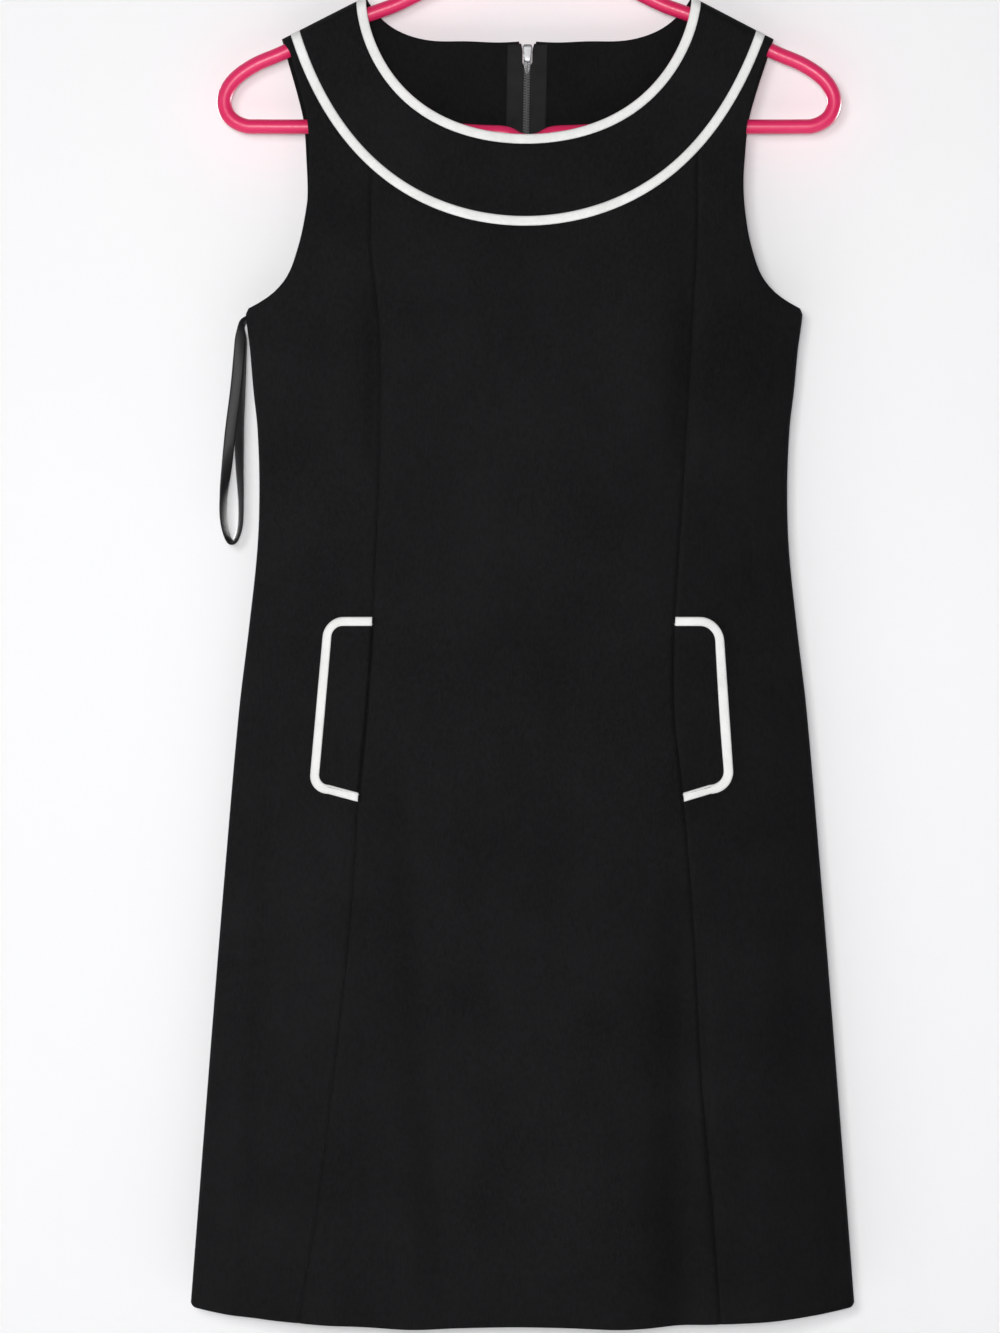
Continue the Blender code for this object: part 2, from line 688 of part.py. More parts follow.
def zip_heights(start):
    """Heights down the zip, close at the notch and then as the backs' own rows."""
    end = ZIP_TOP - ZIP_LENGTH
    rows = [start] + [z for z in (ZIP_NOTCH_BOTTOM, ZIP_NOTCH_CLOSED) + PANEL_ROWS[1:]
                      if end < z < start - TAPE_UNDER]
    return rows + [end]


def build_zip():
    slider_low = ZIP_TOP - SLIDER_LENGTH
    slider_y = back_at(0, ZIP_TOP).y - CLOTH - SEAM_GAP - TAPE / 2
    tape_start = back_top_line(0) - TAPE_START
    for side, sign in (("left", -1), ("right", 1)):
        rows = []
        for z in zip_heights(tape_start):
            beside = SLIDER_WIDTH if z > slider_low - SLIDER_CLEAR else CHAIN_WIDTH
            inner = max(beside / 2 + 2 * SEAM_GAP, centre_back_edge(z) - TAPE_UNDER)
            across = [inner + (TAPE_EDGE - inner) * i / 2 for i in range(3)]
            rows.append([back_at(sign * x, z, raised=-CLOTH - LAID_ON_GAP) for x in across])
        sheet(f"zip_tape_{side}", rows, "zip_tape", TAPE, facing=1)
    rows = []
    for z in zip_heights(slider_low - SEAM_GAP):
        rows.append([back_at(x, z, raised=-CLOTH - LAID_ON_GAP + CHAIN_PROUD)
                     for x in (-CHAIN_WIDTH / 2, 0, CHAIN_WIDTH / 2)])
    sheet("zip_chain", rows, "zip_chain", CHAIN_THICK, facing=1)
    build_slider(Vector((sway(ZIP_TOP), slider_y, (ZIP_TOP + slider_low) / 2)))


def build_slider(centre):
    """The slider with its crown, and the pull tab that swings on the crown."""
    slider = rounded_box("zip_slider", (SLIDER_WIDTH, SLIDER_THICK, SLIDER_LENGTH), centre,
                         SLIDER_BEVEL, "zip_metal")
    face = centre.y + SLIDER_THICK / 2
    arch = []
    for i in range(CROWN_STEPS + 1):
        turn = math.pi * i / CROWN_STEPS
        arch.append((centre.x, face + CROWN_RISE * math.sin(turn),
                     centre.z + CROWN_HALF * math.cos(turn)))
    arch.insert(0, (centre.x, face - CROWN_ROOT, centre.z + CROWN_HALF))
    arch.append((centre.x, face - CROWN_ROOT, centre.z - CROWN_HALF))
    crown = as_mesh(tube("crown", arch, CROWN_RADIUS, "zip_metal"))
    join_with(slider, crown, "UNION")
    # The tab's empty is the hinge: its top bar lies inside the crown
    hinge = bpy.data.objects.new("zip_pull_hinge", None)
    hinge.location = (centre.x, face + (CROWN_RISE - CROWN_RADIUS) / 2, centre.z)
    hinge.rotation_euler = (PULL_TILT, 0, 0)
    bpy.data.collections[NAME].objects.link(hinge)
    middle = Vector((0, 0, PULL_BAR - PULL_LENGTH / 2))
    tab = rounded_box("zip_pull_tab", (PULL_WIDTH, PULL_THICK, PULL_LENGTH), middle,
                      PULL_BEVEL, "zip_metal")
    eye_top, eye_low = -PULL_BAR, -PULL_EYE
    eye = rounded_box("pull_eye", (PULL_EYE_WIDTH, 4 * PULL_THICK, eye_top - eye_low),
                      Vector((0, 0, (eye_top + eye_low) / 2)), PULL_BEVEL, "zip_metal")
    tab.parent = eye.parent = hinge
    join_with(tab, eye, "DIFFERENCE")


def join_with(obj, tool, operation):
    """A Boolean with a tool that stays hidden among the cutters."""
    cutters = bpy.data.collections.get("cutters")
    if cutters is None:
        cutters = bpy.data.collections.new("cutters")
        bpy.context.scene.collection.children.link(cutters)
    bpy.data.collections[NAME].objects.unlink(tool)
    cutters.objects.link(tool)
    tool.hide_render = True
    tool.display_type = "WIRE"
    join = obj.modifiers.new("Join", "BOOLEAN")
    join.operation = operation
    join.object = tool


def smooth_curve(points, steps, closed):
    """A smooth run of points through the given ones (Catmull-Rom)."""
    count = len(points)
    spans = count if closed else count - 1
    run = []
    for i in range(spans):
        def at(k):
            k = k % count if closed else min(max(k, 0), count - 1)
            return Vector(points[k])
        p0, p1, p2, p3 = (at(i + k) for k in (-1, 0, 1, 2))
        for step in range(steps):
            t = step / steps
            run.append(0.5 * (2 * p1 + (p2 - p0) * t + (2 * p0 - 5 * p1 + 4 * p2 - p3) * t**2
                              + (3 * p1 - p0 - 3 * p2 + p3) * t**3))
    if not closed:
        run.append(Vector(points[-1]))
    return run


def tube(name, points, radius, slot, closed=False, sides=2):
    data = bpy.data.curves.new(name, "CURVE")
    data.dimensions = "3D"
    data.bevel_depth = radius
    data.bevel_resolution = sides
    data.use_fill_caps = not closed
    spline = data.splines.new("POLY")
    spline.points.add(len(points) - 1)
    for knot, point in zip(spline.points, points):
        knot.co = (*point, 1)
    spline.use_cyclic_u = closed
    return add_object(name, data, slot)


def as_mesh(obj):
    """The same object as a mesh with its caps welded, so that it can be joined."""
    graph = bpy.context.evaluated_depsgraph_get()
    mesh = bpy.data.meshes.new_from_object(obj.evaluated_get(graph))
    bm = bmesh.new()
    bm.from_mesh(mesh)
    bmesh.ops.remove_doubles(bm, verts=bm.verts, dist=WELD)
    bm.to_mesh(mesh)
    bm.free()
    solid = bpy.data.objects.new(obj.name + "_solid", mesh)
    solid.matrix_world = obj.matrix_world
    for group in obj.users_collection:
        group.objects.link(solid)
    bpy.data.objects.remove(obj, do_unlink=True)
    return solid


def hook_points():
    """A question-mark hook: over the rail, back under it, and down to the apex."""
    radius = HOOK_INNER + HOOK_RADIUS
    apex = HANGER_HALF[0][1]
    points = []
    for i in range(HOOK_STEPS + 1):
        turn = HOOK_OPEN_TURN + (HOOK_LOW_TURN - HOOK_OPEN_TURN) * i / HOOK_STEPS
        points.append((radius * math.cos(turn), 0, -HOOK_INNER + radius * math.sin(turn)))
    # A bend of the same radius the other way brings it over the apex
    bend_x = 2 * radius * math.cos(HOOK_LOW_TURN)
    bend_z = -HOOK_INNER + 2 * radius * math.sin(HOOK_LOW_TURN)
    for i in range(1, BEND_STEPS + 1):
        turn = HOOK_LOW_TURN * (1 - i / BEND_STEPS)
        points.append((bend_x - radius * math.cos(turn), 0, bend_z - radius * math.sin(turn)))
    points.append((0, 0, (bend_z + apex) / 2))
    points.append((0, 0, apex))
    return points


def build_hanger():
    right = [(x, 0, z) for x, z in HANGER_HALF]
    left = [(-x, 0, z) for x, z in reversed(HANGER_HALF[1:-1])]
    loop = tube("hanger", smooth_curve(right + left, 2, closed=True), TUBE_RADIUS,
                "hanger_plastic", closed=True)
    hook = tube("hook", hook_points(), HOOK_RADIUS, "hanger_plastic")
    loop, hook = as_mesh(loop), as_mesh(hook)
    loop.name = "hanger"
    join_with(loop, hook, "UNION")


def build_ribbon():
    tube("hanging_ribbon", smooth_curve(RIBBON_ROUTE, 2, closed=False), RIBBON_RADIUS,
         "ribbon")


def main():
    for obj in list(bpy.data.objects):
        bpy.data.objects.remove(obj, do_unlink=True)
    collection = bpy.data.collections.new(NAME)
    bpy.context.scene.collection.children.link(collection)
    build_yoke()
    build_centre_front()
    for side, sign in (("left", -1), ("right", 1)):
        build_side_front(side, sign)
        build_back(side, sign)
    for flap in FLAPS:
        build_flap(flap)
    build_zip()
    build_ribbon()
    build_hanger()


main()
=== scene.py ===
import json
import math

import bmesh
import bpy
import numpy as np
from mathutils import Matrix, Vector


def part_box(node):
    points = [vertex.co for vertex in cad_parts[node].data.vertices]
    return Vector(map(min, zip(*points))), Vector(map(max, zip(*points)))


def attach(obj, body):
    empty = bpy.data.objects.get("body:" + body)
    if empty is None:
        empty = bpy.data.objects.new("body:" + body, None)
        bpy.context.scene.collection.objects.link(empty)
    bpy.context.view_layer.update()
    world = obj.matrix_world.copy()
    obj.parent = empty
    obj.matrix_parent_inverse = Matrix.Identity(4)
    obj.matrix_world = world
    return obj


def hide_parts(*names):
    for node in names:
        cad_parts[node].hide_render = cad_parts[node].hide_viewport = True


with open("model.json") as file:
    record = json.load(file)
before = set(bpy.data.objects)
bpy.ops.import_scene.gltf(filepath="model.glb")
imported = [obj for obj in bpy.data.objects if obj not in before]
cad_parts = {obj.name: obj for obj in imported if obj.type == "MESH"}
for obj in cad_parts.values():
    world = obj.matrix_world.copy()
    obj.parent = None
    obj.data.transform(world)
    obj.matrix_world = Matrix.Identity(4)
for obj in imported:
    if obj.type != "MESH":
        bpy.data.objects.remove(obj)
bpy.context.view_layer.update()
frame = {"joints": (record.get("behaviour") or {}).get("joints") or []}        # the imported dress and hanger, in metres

# ---- camera first, at eye level before the dress
cameraSet = {"place": (-0.021, -2.6, -0.6167), "tall": 0.95976, "sensor": 36.0}
cameraData = bpy.data.cameras.new("camera")
camera = bpy.data.objects.new("camera", cameraData)
bpy.context.scene.collection.objects.link(camera)
camera.location = cameraSet["place"]
camera.rotation_euler = (math.radians(90), 0, 0)
cameraData.sensor_width = cameraSet["sensor"]
cameraData.lens = cameraSet["sensor"] * -cameraSet["place"][1] / cameraSet["tall"]
bpy.context.scene.camera = camera
bpy.context.scene.view_settings.view_transform = "Standard"

# ---- the shape of the hanging dress

dress = {
    "cloth": 0.0012,        # wall of the crepe
    "gap": 0.0003,          # between pieces at a seam
    "halfGap": 0.0002,      # from the middle plane to each face where they meet
    "swayTop": -0.0004,     # the dress hangs a little to one side of the hook
    "swayMore": -0.0044,
    "swayFall": 0.17,
    "shoulderInner": 0.1253,
    "shoulderHeight": -0.1387,
    "shoulderSlope": 0.515,
    "shoulderRoll": 0.0090,
    "sideRoll": 0.0035,
    "edgeRoll": 0.0014,     # turned edges at armholes, hem and back neck
    "edgeDrop": 0.0008,
    "underarm": -0.3605,
    "lens": 2.6,            # how squarely a section bulges
    "foldEdge": 8,
    "hemSide": -1.0765,
    "hemFront": -1.0842,
    "hemBack": -1.0835,
    "hemCurve": 6,
    "hemLobe": 0.0012,
    "hemCorner": 0.0045,    # the corners at the side seams are rounded
    "hemCornerAt": 0.2347,
    "hemLobes": (-0.078, 0.070),
    "hemLobeReach": 0.028,
}

sections = {  # half width, and how far front, back and rolled edge stand out
    "height": (-0.139, -0.190, -0.236, -0.300, -0.3605, -0.389, -0.418, -0.446,
               -0.490, -0.533, -0.590, -0.648, -0.763, -0.878, -0.994, -1.090),
    "half": (0.1960, 0.1980, 0.1990, 0.2000, 0.2005, 0.1972, 0.1946, 0.1915,
             0.1900, 0.1914, 0.1974, 0.2043, 0.2143, 0.2236, 0.2326, 0.2400),
    "front": (0.0105, 0.0150, 0.0195, 0.0270, 0.0325, 0.0345, 0.0340, 0.0320,
              0.0285, 0.0280, 0.0305, 0.0335, 0.0375, 0.0410, 0.0450, 0.0480),
    "back": (0.0100, 0.0120, 0.0135, 0.0155, 0.0175, 0.0180, 0.0180, 0.0170,
             0.0155, 0.0165, 0.0200, 0.0230, 0.0255, 0.0280, 0.0310, 0.0330),
    "edge": (0.0090, 0.0088, 0.0080, 0.0065, 0.0040, 0.0035, 0.0035, 0.0035,
             0.0035, 0.0035, 0.0035, 0.0035, 0.0035, 0.0038, 0.0040, 0.0040),
}
armhole = {
    "height": (-0.1653, -0.1800, -0.2016, -0.2232, -0.2500, -0.2770, -0.3024,
               -0.3200, -0.3355, -0.3460, -0.3535, -0.3605),
    "half": (0.1770, 0.1727, 0.1661, 0.1607, 0.1584, 0.1573, 0.1595,
             0.1634, 0.1692, 0.1772, 0.1870, 0.2005),
}
princess = {
    "height": (-0.2500, -0.3130, -0.3780, -0.4650, -0.5400, -0.6000, -0.6550,
               -0.7050, -0.8050, -0.9100, -1.0000, -1.0900),
    "left": (-0.1098, -0.1099, -0.1032, -0.1028, -0.1056, -0.1083, -0.1122,
             -0.1168, -0.1233, -0.1347, -0.1457, -0.1602),
    "right": (0.1229, 0.1229, 0.1195, 0.1154, 0.1109, 0.1075, 0.1080,
              0.1136, 0.1217, 0.1272, 0.1348, 0.1408),
}

# A fold runs from its top to its low end; reach is half its width, rise is how far it
# stands out, negative for a trough. The big ones first, then fine creases.
foldColumns = ("x", "top", "lowX", "low", "reach", "rise")
frontFolds = (
    (-0.104, -0.335, -0.104, -0.500, 0.009, -0.0038),
    (0.119, -0.320, 0.113, -0.500, 0.009, -0.0034),
    (-0.126, -0.270, -0.128, -0.480, 0.024, 0.0042),
    (0.098, -0.275, 0.094, -0.480, 0.026, 0.0042),
    (-0.172, -0.570, -0.196, -1.150, 0.012, -0.0056),
    (-0.088, -0.590, -0.052, -1.120, 0.018, -0.0062),
    (-0.121, -0.700, -0.146, -1.250, 0.022, 0.0046),
    (-0.080, -0.880, -0.076, -1.400, 0.034, 0.0048),
    (0.064, -0.820, 0.072, -1.400, 0.034, 0.0048),
    (0.112, -0.720, 0.112, -1.250, 0.016, -0.0054),
    (0.172, -0.680, 0.182, -1.250, 0.026, 0.0046),
    (-0.186, -0.368, -0.150, -0.440, 0.0060, -0.0013),
    (-0.190, -0.392, -0.163, -0.470, 0.0050, -0.0010),
    (0.188, -0.366, 0.146, -0.452, 0.0065, -0.0015),
    (0.184, -0.405, 0.160, -0.478, 0.0050, -0.0009),
    (-0.160, -0.455, -0.178, -0.560, 0.0070, -0.0010),
    (0.150, -0.462, 0.172, -0.575, 0.0070, -0.0012),
    (0.126, -0.790, 0.138, -1.060, 0.0042, -0.0017),
    (-0.034, -0.600, -0.020, -0.930, 0.0130, -0.0011),
    (0.030, -0.560, 0.022, -0.860, 0.0150, -0.0012),
    (-0.010, -0.860, -0.004, -1.300, 0.0200, -0.0016),
    (-0.196, -0.700, -0.214, -1.180, 0.0080, 0.0012),
    (0.203, -0.740, 0.216, -1.200, 0.0075, 0.0010),
    (-0.060, -0.330, -0.052, -0.470, 0.0140, -0.0009),
    (0.046, -0.320, 0.052, -0.455, 0.0130, -0.0008),
)
backFolds = (
    (-0.095, -0.350, -0.100, -0.640, 0.010, -0.0026),
    (0.097, -0.360, 0.103, -0.630, 0.010, -0.0026),
    (-0.130, -0.640, -0.150, -1.200, 0.020, -0.0046),
    (0.038, -0.660, 0.050, -1.300, 0.034, 0.0032),
    (0.140, -0.700, 0.156, -1.250, 0.022, -0.0042),
    (-0.186, -0.370, -0.150, -0.450, 0.0060, -0.0012),
    (0.187, -0.374, 0.155, -0.462, 0.0060, -0.0011),
    (-0.050, -0.690, -0.044, -1.100, 0.0150, -0.0014),
    (-0.060, -0.210, -0.040, -0.330, 0.0110, -0.0007),
    (0.066, -0.215, 0.046, -0.345, 0.0120, -0.0008),
    (0.090, -0.800, 0.100, -1.180, 0.0090, -0.0012),
    (-0.176, -0.470, -0.160, -0.560, 0.0070, -0.0010),
    (0.172, -0.480, 0.158, -0.570, 0.0070, -0.0009),
)
seamLook = {"ditch": 0.0010, "ditchReach": 0.0017, "pucker": 0.00022, "puckerReach": 0.0060,
            "puckerPitch": 0.0210}
uneven = {"rise": 0.00028, "long": 26.0, "short": 61.0}  # slow waves over all the cloth


def tableAt(table, name, z):  # smooth value of a table's column at heights z
    heights, values = np.array(table["height"]), np.array(table[name])
    slopes = np.empty(len(values))
    slopes[1:-1] = (values[2:] - values[:-2]) / (heights[2:] - heights[:-2])
    slopes[0] = (values[1] - values[0]) / (heights[1] - heights[0])
    slopes[-1] = (values[-1] - values[-2]) / (heights[-1] - heights[-2])
    z = np.clip(np.asarray(z, float), heights[-1], heights[0])
    i = np.clip(np.searchsorted(-heights, -z, side="right") - 1, 0, len(heights) - 2)
    span = heights[i + 1] - heights[i]
    t = (z - heights[i]) / span
    return ((2 * t**3 - 3 * t**2 + 1) * values[i] + (t**3 - 2 * t**2 + t) * slopes[i] * span
            + (3 * t**2 - 2 * t**3) * values[i + 1] + (t**3 - t**2) * slopes[i + 1] * span)


def eased(t):
    t = np.clip(t, 0.0, 1.0)
    return t * t * (3 - 2 * t)


def bump(distance, reach):
    return np.exp(-((distance / reach) ** 2))


def rolled(distance, radius):  # quarter circle, 0 at an edge to 1 at a radius in
    inward = np.clip(distance / radius, 0.0, 1.0)
    return np.sqrt(1 - (1 - inward) ** 2)


def shoulderLine(x):
    return dress["shoulderHeight"] - dress["shoulderSlope"] * (np.abs(x) - dress["shoulderInner"])


def sway(z):
    fall = np.exp((z - dress["shoulderHeight"]) / dress["swayFall"])
    return dress["swayTop"] + dress["swayMore"] * (1 - fall)


def foldRise(folds, x, z):
    rise = np.zeros(np.broadcast(x, z).shape)
    for row in folds:
        fold = dict(zip(foldColumns, row))
        t = (z - fold["top"]) / (fold["low"] - fold["top"])
        middle = fold["x"] + t * (fold["lowX"] - fold["x"])
        fade = eased(t / 0.3) * eased((1 - t) / 0.25)
        rise += fold["rise"] * fade * bump(x - middle, fold["reach"])
    return rise


def standOut(x, z, column, folds):  # how far a face stands out from the middle plane
    half = tableAt(sections, "half", z)
    edge = tableAt(sections, "edge", z)
    depth = tableAt(sections, column, z)
    share = np.clip(np.abs(x) / half, 0, 1)
    out = edge + (depth - edge) * (1 - share ** dress["lens"])
    ripple = (np.sin(uneven["long"] * (x + 0.7 * z) + 1.3) * np.sin(uneven["long"] * z + 0.4)
              + 0.5 * np.sin(uneven["short"] * (0.6 * x - 0.3 * z) + 2.1))
    out = out + (foldRise(folds, x, z) + uneven["rise"] * ripple) * (1 - share ** dress["foldEdge"])
    out = out * rolled(half - np.abs(x), dress["sideRoll"])
    return dress["halfGap"] + out * rolled(shoulderLine(x) - z, dress["shoulderRoll"])


def seamDitch(x, z, seamX):  # a seam sinks, and the cloth puckers a little beside it
    d = np.abs(x - seamX)
    wave = np.sin(2 * math.pi * z / seamLook["puckerPitch"] + 3 * np.sin(31 * z))
    side = bump(d - seamLook["puckerReach"], 0.6 * seamLook["puckerReach"])
    return seamLook["pucker"] * wave * side - seamLook["ditch"] * bump(d, seamLook["ditchReach"])


def frontOut(x, z, seams=True):
    out = standOut(x, z, "front", frontFolds)
    if seams:
        below = (z < yokeSeamZ(x) + 0.001).astype(float)
        for side in ("left", "right"):
            out = out + below * seamDitch(x, z, tableAt(princess, side, z))
    return out


def backOut(x, z):
    out = standOut(x, z, "back", backFolds)
    seamFade = eased((-0.205 - z) / 0.02)
    return out + seamFade * seamDitch(x, z, 0 * x)


def frontPoints(x, z, raised=0.0, seams=True):
    return np.stack([sway(z) + x, -frontOut(x, z, seams) - raised, z + 0 * x], -1)


def backPoints(x, z, raised=0.0):
    return np.stack([sway(z) + x, backOut(x, z) + raised, z + 0 * x], -1)


def hemLine(x, middle):
    half = sections["half"][-1]
    share = np.clip(np.abs(x) / half, 0, 1)
    corner = dress["hemCorner"]
    t = np.clip((np.abs(x) - dress["hemCornerAt"]) / corner, 0, 1)
    line = dress["hemSide"] + (middle - dress["hemSide"]) * (1 - share ** dress["hemCurve"])
    return line + corner * (1 - np.sqrt(1 - t**2))


def frontHem(x):
    dip = sum(bump(x - lobe, dress["hemLobeReach"]) for lobe in dress["hemLobes"])
    return hemLine(x, dress["hemFront"]) - dress["hemLobe"] * dip


# ---- curves round the neck: half width, height of the widest point, drop, squareness

collar = {
    "neck": (0.1171, -0.1379, 0.0985, 0.0015),
    "yoke": (0.1780, -0.0855, 0.2103, 0.0022),
    "binding": 0.0065,
    "steps": 260,           # stations from shoulder to shoulder
    "dome": 0.0012,         # how round the bindings stand up
    "proud": -0.0004,       # their edges sink into the cloth
    "under": -0.0014,
    "lap": 0.0003,          # they lap over the cloth's edges
}


def grown(curve, outward):
    return curve[0] + outward, curve[1], curve[2] + outward, curve[3]


def oval(curve, turn):
    half, top, drop, square = curve
    return half * np.sin(turn) + square * np.sin(4 * turn), top - drop * np.cos(turn)


def turnWhere(curve, isBelow):  # the turn at which the curve stops being below something
    low, high = 0.0, math.radians(110)
    for _ in range(45):
        middle = (low + high) / 2
        low, high = (middle, high) if isBelow(*oval(curve, middle)) else (low, middle)
    return low


def shoulderTurn(curve):
    return turnWhere(curve, lambda x, z: z < shoulderLine(x))


yokeSeam = grown(collar["yoke"], collar["binding"] + dress["gap"])
seamEnd = shoulderTurn(yokeSeam)
seamX, seamZ = oval(yokeSeam, np.linspace(0, math.radians(86), 500))


def yokeSeamZ(x):
    return np.interp(np.abs(x), seamX, seamZ)


def yokeSeamX(z):
    return np.interp(z, seamZ, seamX)


def princessTop(side):  # where a princess seam leaves the yoke's seam
    z = yokeSeamZ(princess[side][0])
    for _ in range(6):
        z = yokeSeamZ(tableAt(princess, side, z))
    return float(z)


# ---- materials

def nodeLook(name):
    look = bpy.data.materials.new(name)
    look.use_nodes = True
    return look, look.node_tree.nodes, look.node_tree.links.new, look.node_tree.nodes["Principled BSDF"]


def addNode(nodes, kind, **values):  # inputs by their names, other keys as the node's own settings
    node = nodes.new(kind)
    for key, value in values.items():
        if key in node.inputs:
            node.inputs[key].default_value = value
        else:
            setattr(node, key, value)
    return node


def colourRamp(nodes, low, high, start=0.3, end=0.7):
    ramp = nodes.new("ShaderNodeValToRGB")
    ramp.color_ramp.elements[0].position, ramp.color_ramp.elements[0].color = start, (*low, 1)
    ramp.color_ramp.elements[1].position, ramp.color_ramp.elements[1].color = end, (*high, 1)
    return ramp


def colourBy(nodes, link, shader, source, low, high, start=0.3, end=0.7):
    ramp = colourRamp(nodes, low, high, start, end)
    link(source, ramp.inputs["Fac"])
    link(ramp.outputs["Color"], shader.inputs["Base Color"])


def addBump(nodes, link, height, strength, distance, before=None):
    node = addNode(nodes, "ShaderNodeBump", Strength=strength, Distance=distance)
    link(height, node.inputs["Height"])
    if before:
        link(before.outputs["Normal"], node.inputs["Normal"])
    return node


crepeSet = {"dark": (0.0040, 0.0041, 0.0045), "light": (0.0078, 0.0078, 0.0084),
            "grain": 2400.0, "slub": 620.0, "cloud": 16.0}


def objectSpot(nodes):
    return nodes.new("ShaderNodeTexCoord").outputs["Object"]


def roughBy(nodes, link, shader, source, low, high, start=0.0, end=1.0):  # roughness from a pattern
    rough = nodes.new("ShaderNodeMapRange")
    rough.inputs["From Min"].default_value, rough.inputs["From Max"].default_value = start, end
    rough.inputs["To Min"].default_value, rough.inputs["To Max"].default_value = low, high
    link(source.outputs["Fac"], rough.inputs["Value"])
    link(rough.outputs["Result"], shader.inputs["Roughness"])


def makeCrepe():
    look, nodes, link, shader = nodeLook("crepe")
    spot = objectSpot(nodes)
    grain = addNode(nodes, "ShaderNodeTexNoise", Scale=crepeSet["grain"], Detail=2.0, Roughness=0.6)
    slub = addNode(nodes, "ShaderNodeTexNoise", Scale=crepeSet["slub"], Detail=3.0, Roughness=0.6)
    cloud = addNode(nodes, "ShaderNodeTexNoise", Scale=crepeSet["cloud"], Detail=4.0, Roughness=0.5)
    stretch = addNode(nodes, "ShaderNodeMapping", Scale=(1.0, 1.0, 0.45))  # threads run down
    link(spot, stretch.inputs["Vector"])
    link(stretch.outputs["Vector"], grain.inputs["Vector"])
    link(stretch.outputs["Vector"], slub.inputs["Vector"])
    link(spot, cloud.inputs["Vector"])
    shade = addNode(nodes, "ShaderNodeMath", operation="MULTIPLY_ADD")
    link(cloud.outputs["Fac"], shade.inputs[0])
    shade.inputs[1].default_value = 0.6
    link(slub.outputs["Fac"], shade.inputs[2])
    colourBy(nodes, link, shader, shade.outputs[0], crepeSet["dark"], crepeSet["light"], 0.55, 1.05)
    roughBy(nodes, link, shader, grain, 0.72, 0.95)
    coarse = addBump(nodes, link, slub.outputs["Fac"], 0.45, 0.00025)
    fine = addBump(nodes, link, grain.outputs["Fac"], 0.55, 0.00012, coarse)
    link(fine.outputs["Normal"], shader.inputs["Normal"])
    shader.inputs["Specular IOR Level"].default_value = 0.07
    shader.inputs["Sheen Weight"].default_value = 0.015
    shader.inputs["Sheen Roughness"].default_value = 0.45
    shader.inputs["Sheen Tint"].default_value = (0.75, 0.78, 0.85, 1)
    return look


def makeWoven(name, dark, light, pitch, depth, specular, roughness, slant=0.0):
    # crossed threads on the piece's own map, which is in metres
    look, nodes, link, shader = nodeLook(name)
    spot = nodes.new("ShaderNodeUVMap")
    spot.uv_map = "weave"
    turn = addNode(nodes, "ShaderNodeMapping", Rotation=(0, 0, slant))
    link(spot.outputs["UV"], turn.inputs["Vector"])
    rows = []
    for direction in ("X", "Y"):
        thread = addNode(nodes, "ShaderNodeTexWave", Scale=0.314 / pitch, Distortion=1.2, Detail=1.5)
        thread.inputs["Detail Scale"].default_value = 2.0
        thread.bands_direction = direction
        link(turn.outputs["Vector"], thread.inputs["Vector"])
        rows.append(thread)
    cross = addNode(nodes, "ShaderNodeMath", operation="MULTIPLY")
    link(rows[0].outputs["Fac"], cross.inputs[0])
    link(rows[1].outputs["Fac"], cross.inputs[1])
    place = objectSpot(nodes)
    cloud = addNode(nodes, "ShaderNodeTexNoise", Scale=55.0, Detail=5.0, Roughness=0.6)
    link(place, cloud.inputs["Vector"])
    blend = addNode(nodes, "ShaderNodeMath", operation="MULTIPLY_ADD")
    link(cross.outputs[0], blend.inputs[0])
    blend.inputs[1].default_value = 0.35
    link(cloud.outputs["Fac"], blend.inputs[2])
    colourBy(nodes, link, shader, blend.outputs[0], dark, light, 0.35, 0.85)
    weave = addBump(nodes, link, cross.outputs[0], 0.6, depth)
    link(weave.outputs["Normal"], shader.inputs["Normal"])
    shader.inputs["Roughness"].default_value = roughness
    shader.inputs["Specular IOR Level"].default_value = specular
    return look


def makeSatin():
    look = makeWoven("ribbonSatin", (0.004, 0.004, 0.0045), (0.011, 0.011, 0.012), 0.00028, 0.00003,
                     0.28, 0.46)
    shader = look.node_tree.nodes["Principled BSDF"]
    shader.inputs["Sheen Weight"].default_value = 0.03
    return look


def makePlastic():
    look, nodes, link, shader = nodeLook("pinkPlastic")
    spot = objectSpot(nodes)
    cloud = addNode(nodes, "ShaderNodeTexNoise", Scale=9.0, Detail=3.0, Roughness=0.5)
    scuff = addNode(nodes, "ShaderNodeTexNoise", Scale=420.0, Detail=6.0, Roughness=0.75)
    swirl = addNode(nodes, "ShaderNodeTexNoise", Scale=60.0, Detail=2.0, Distortion=2.5)
    for node in (cloud, scuff, swirl):
        link(spot, node.inputs["Vector"])
    colourBy(nodes, link, shader, cloud.outputs["Fac"], (0.66, 0.012, 0.092), (0.76, 0.026, 0.135))
    roughBy(nodes, link, shader, scuff, 0.32, 0.50, 0.35, 0.75)
    wave = addBump(nodes, link, swirl.outputs["Fac"], 0.25, 0.0004)
    fine = addBump(nodes, link, scuff.outputs["Fac"], 0.12, 0.00005, wave)
    link(fine.outputs["Normal"], shader.inputs["Normal"])
    shader.inputs["Specular IOR Level"].default_value = 0.5
    shader.inputs["Subsurface Weight"].default_value = 0.10
    shader.inputs["Subsurface Radius"].default_value = (0.004, 0.001, 0.0015)
    return look


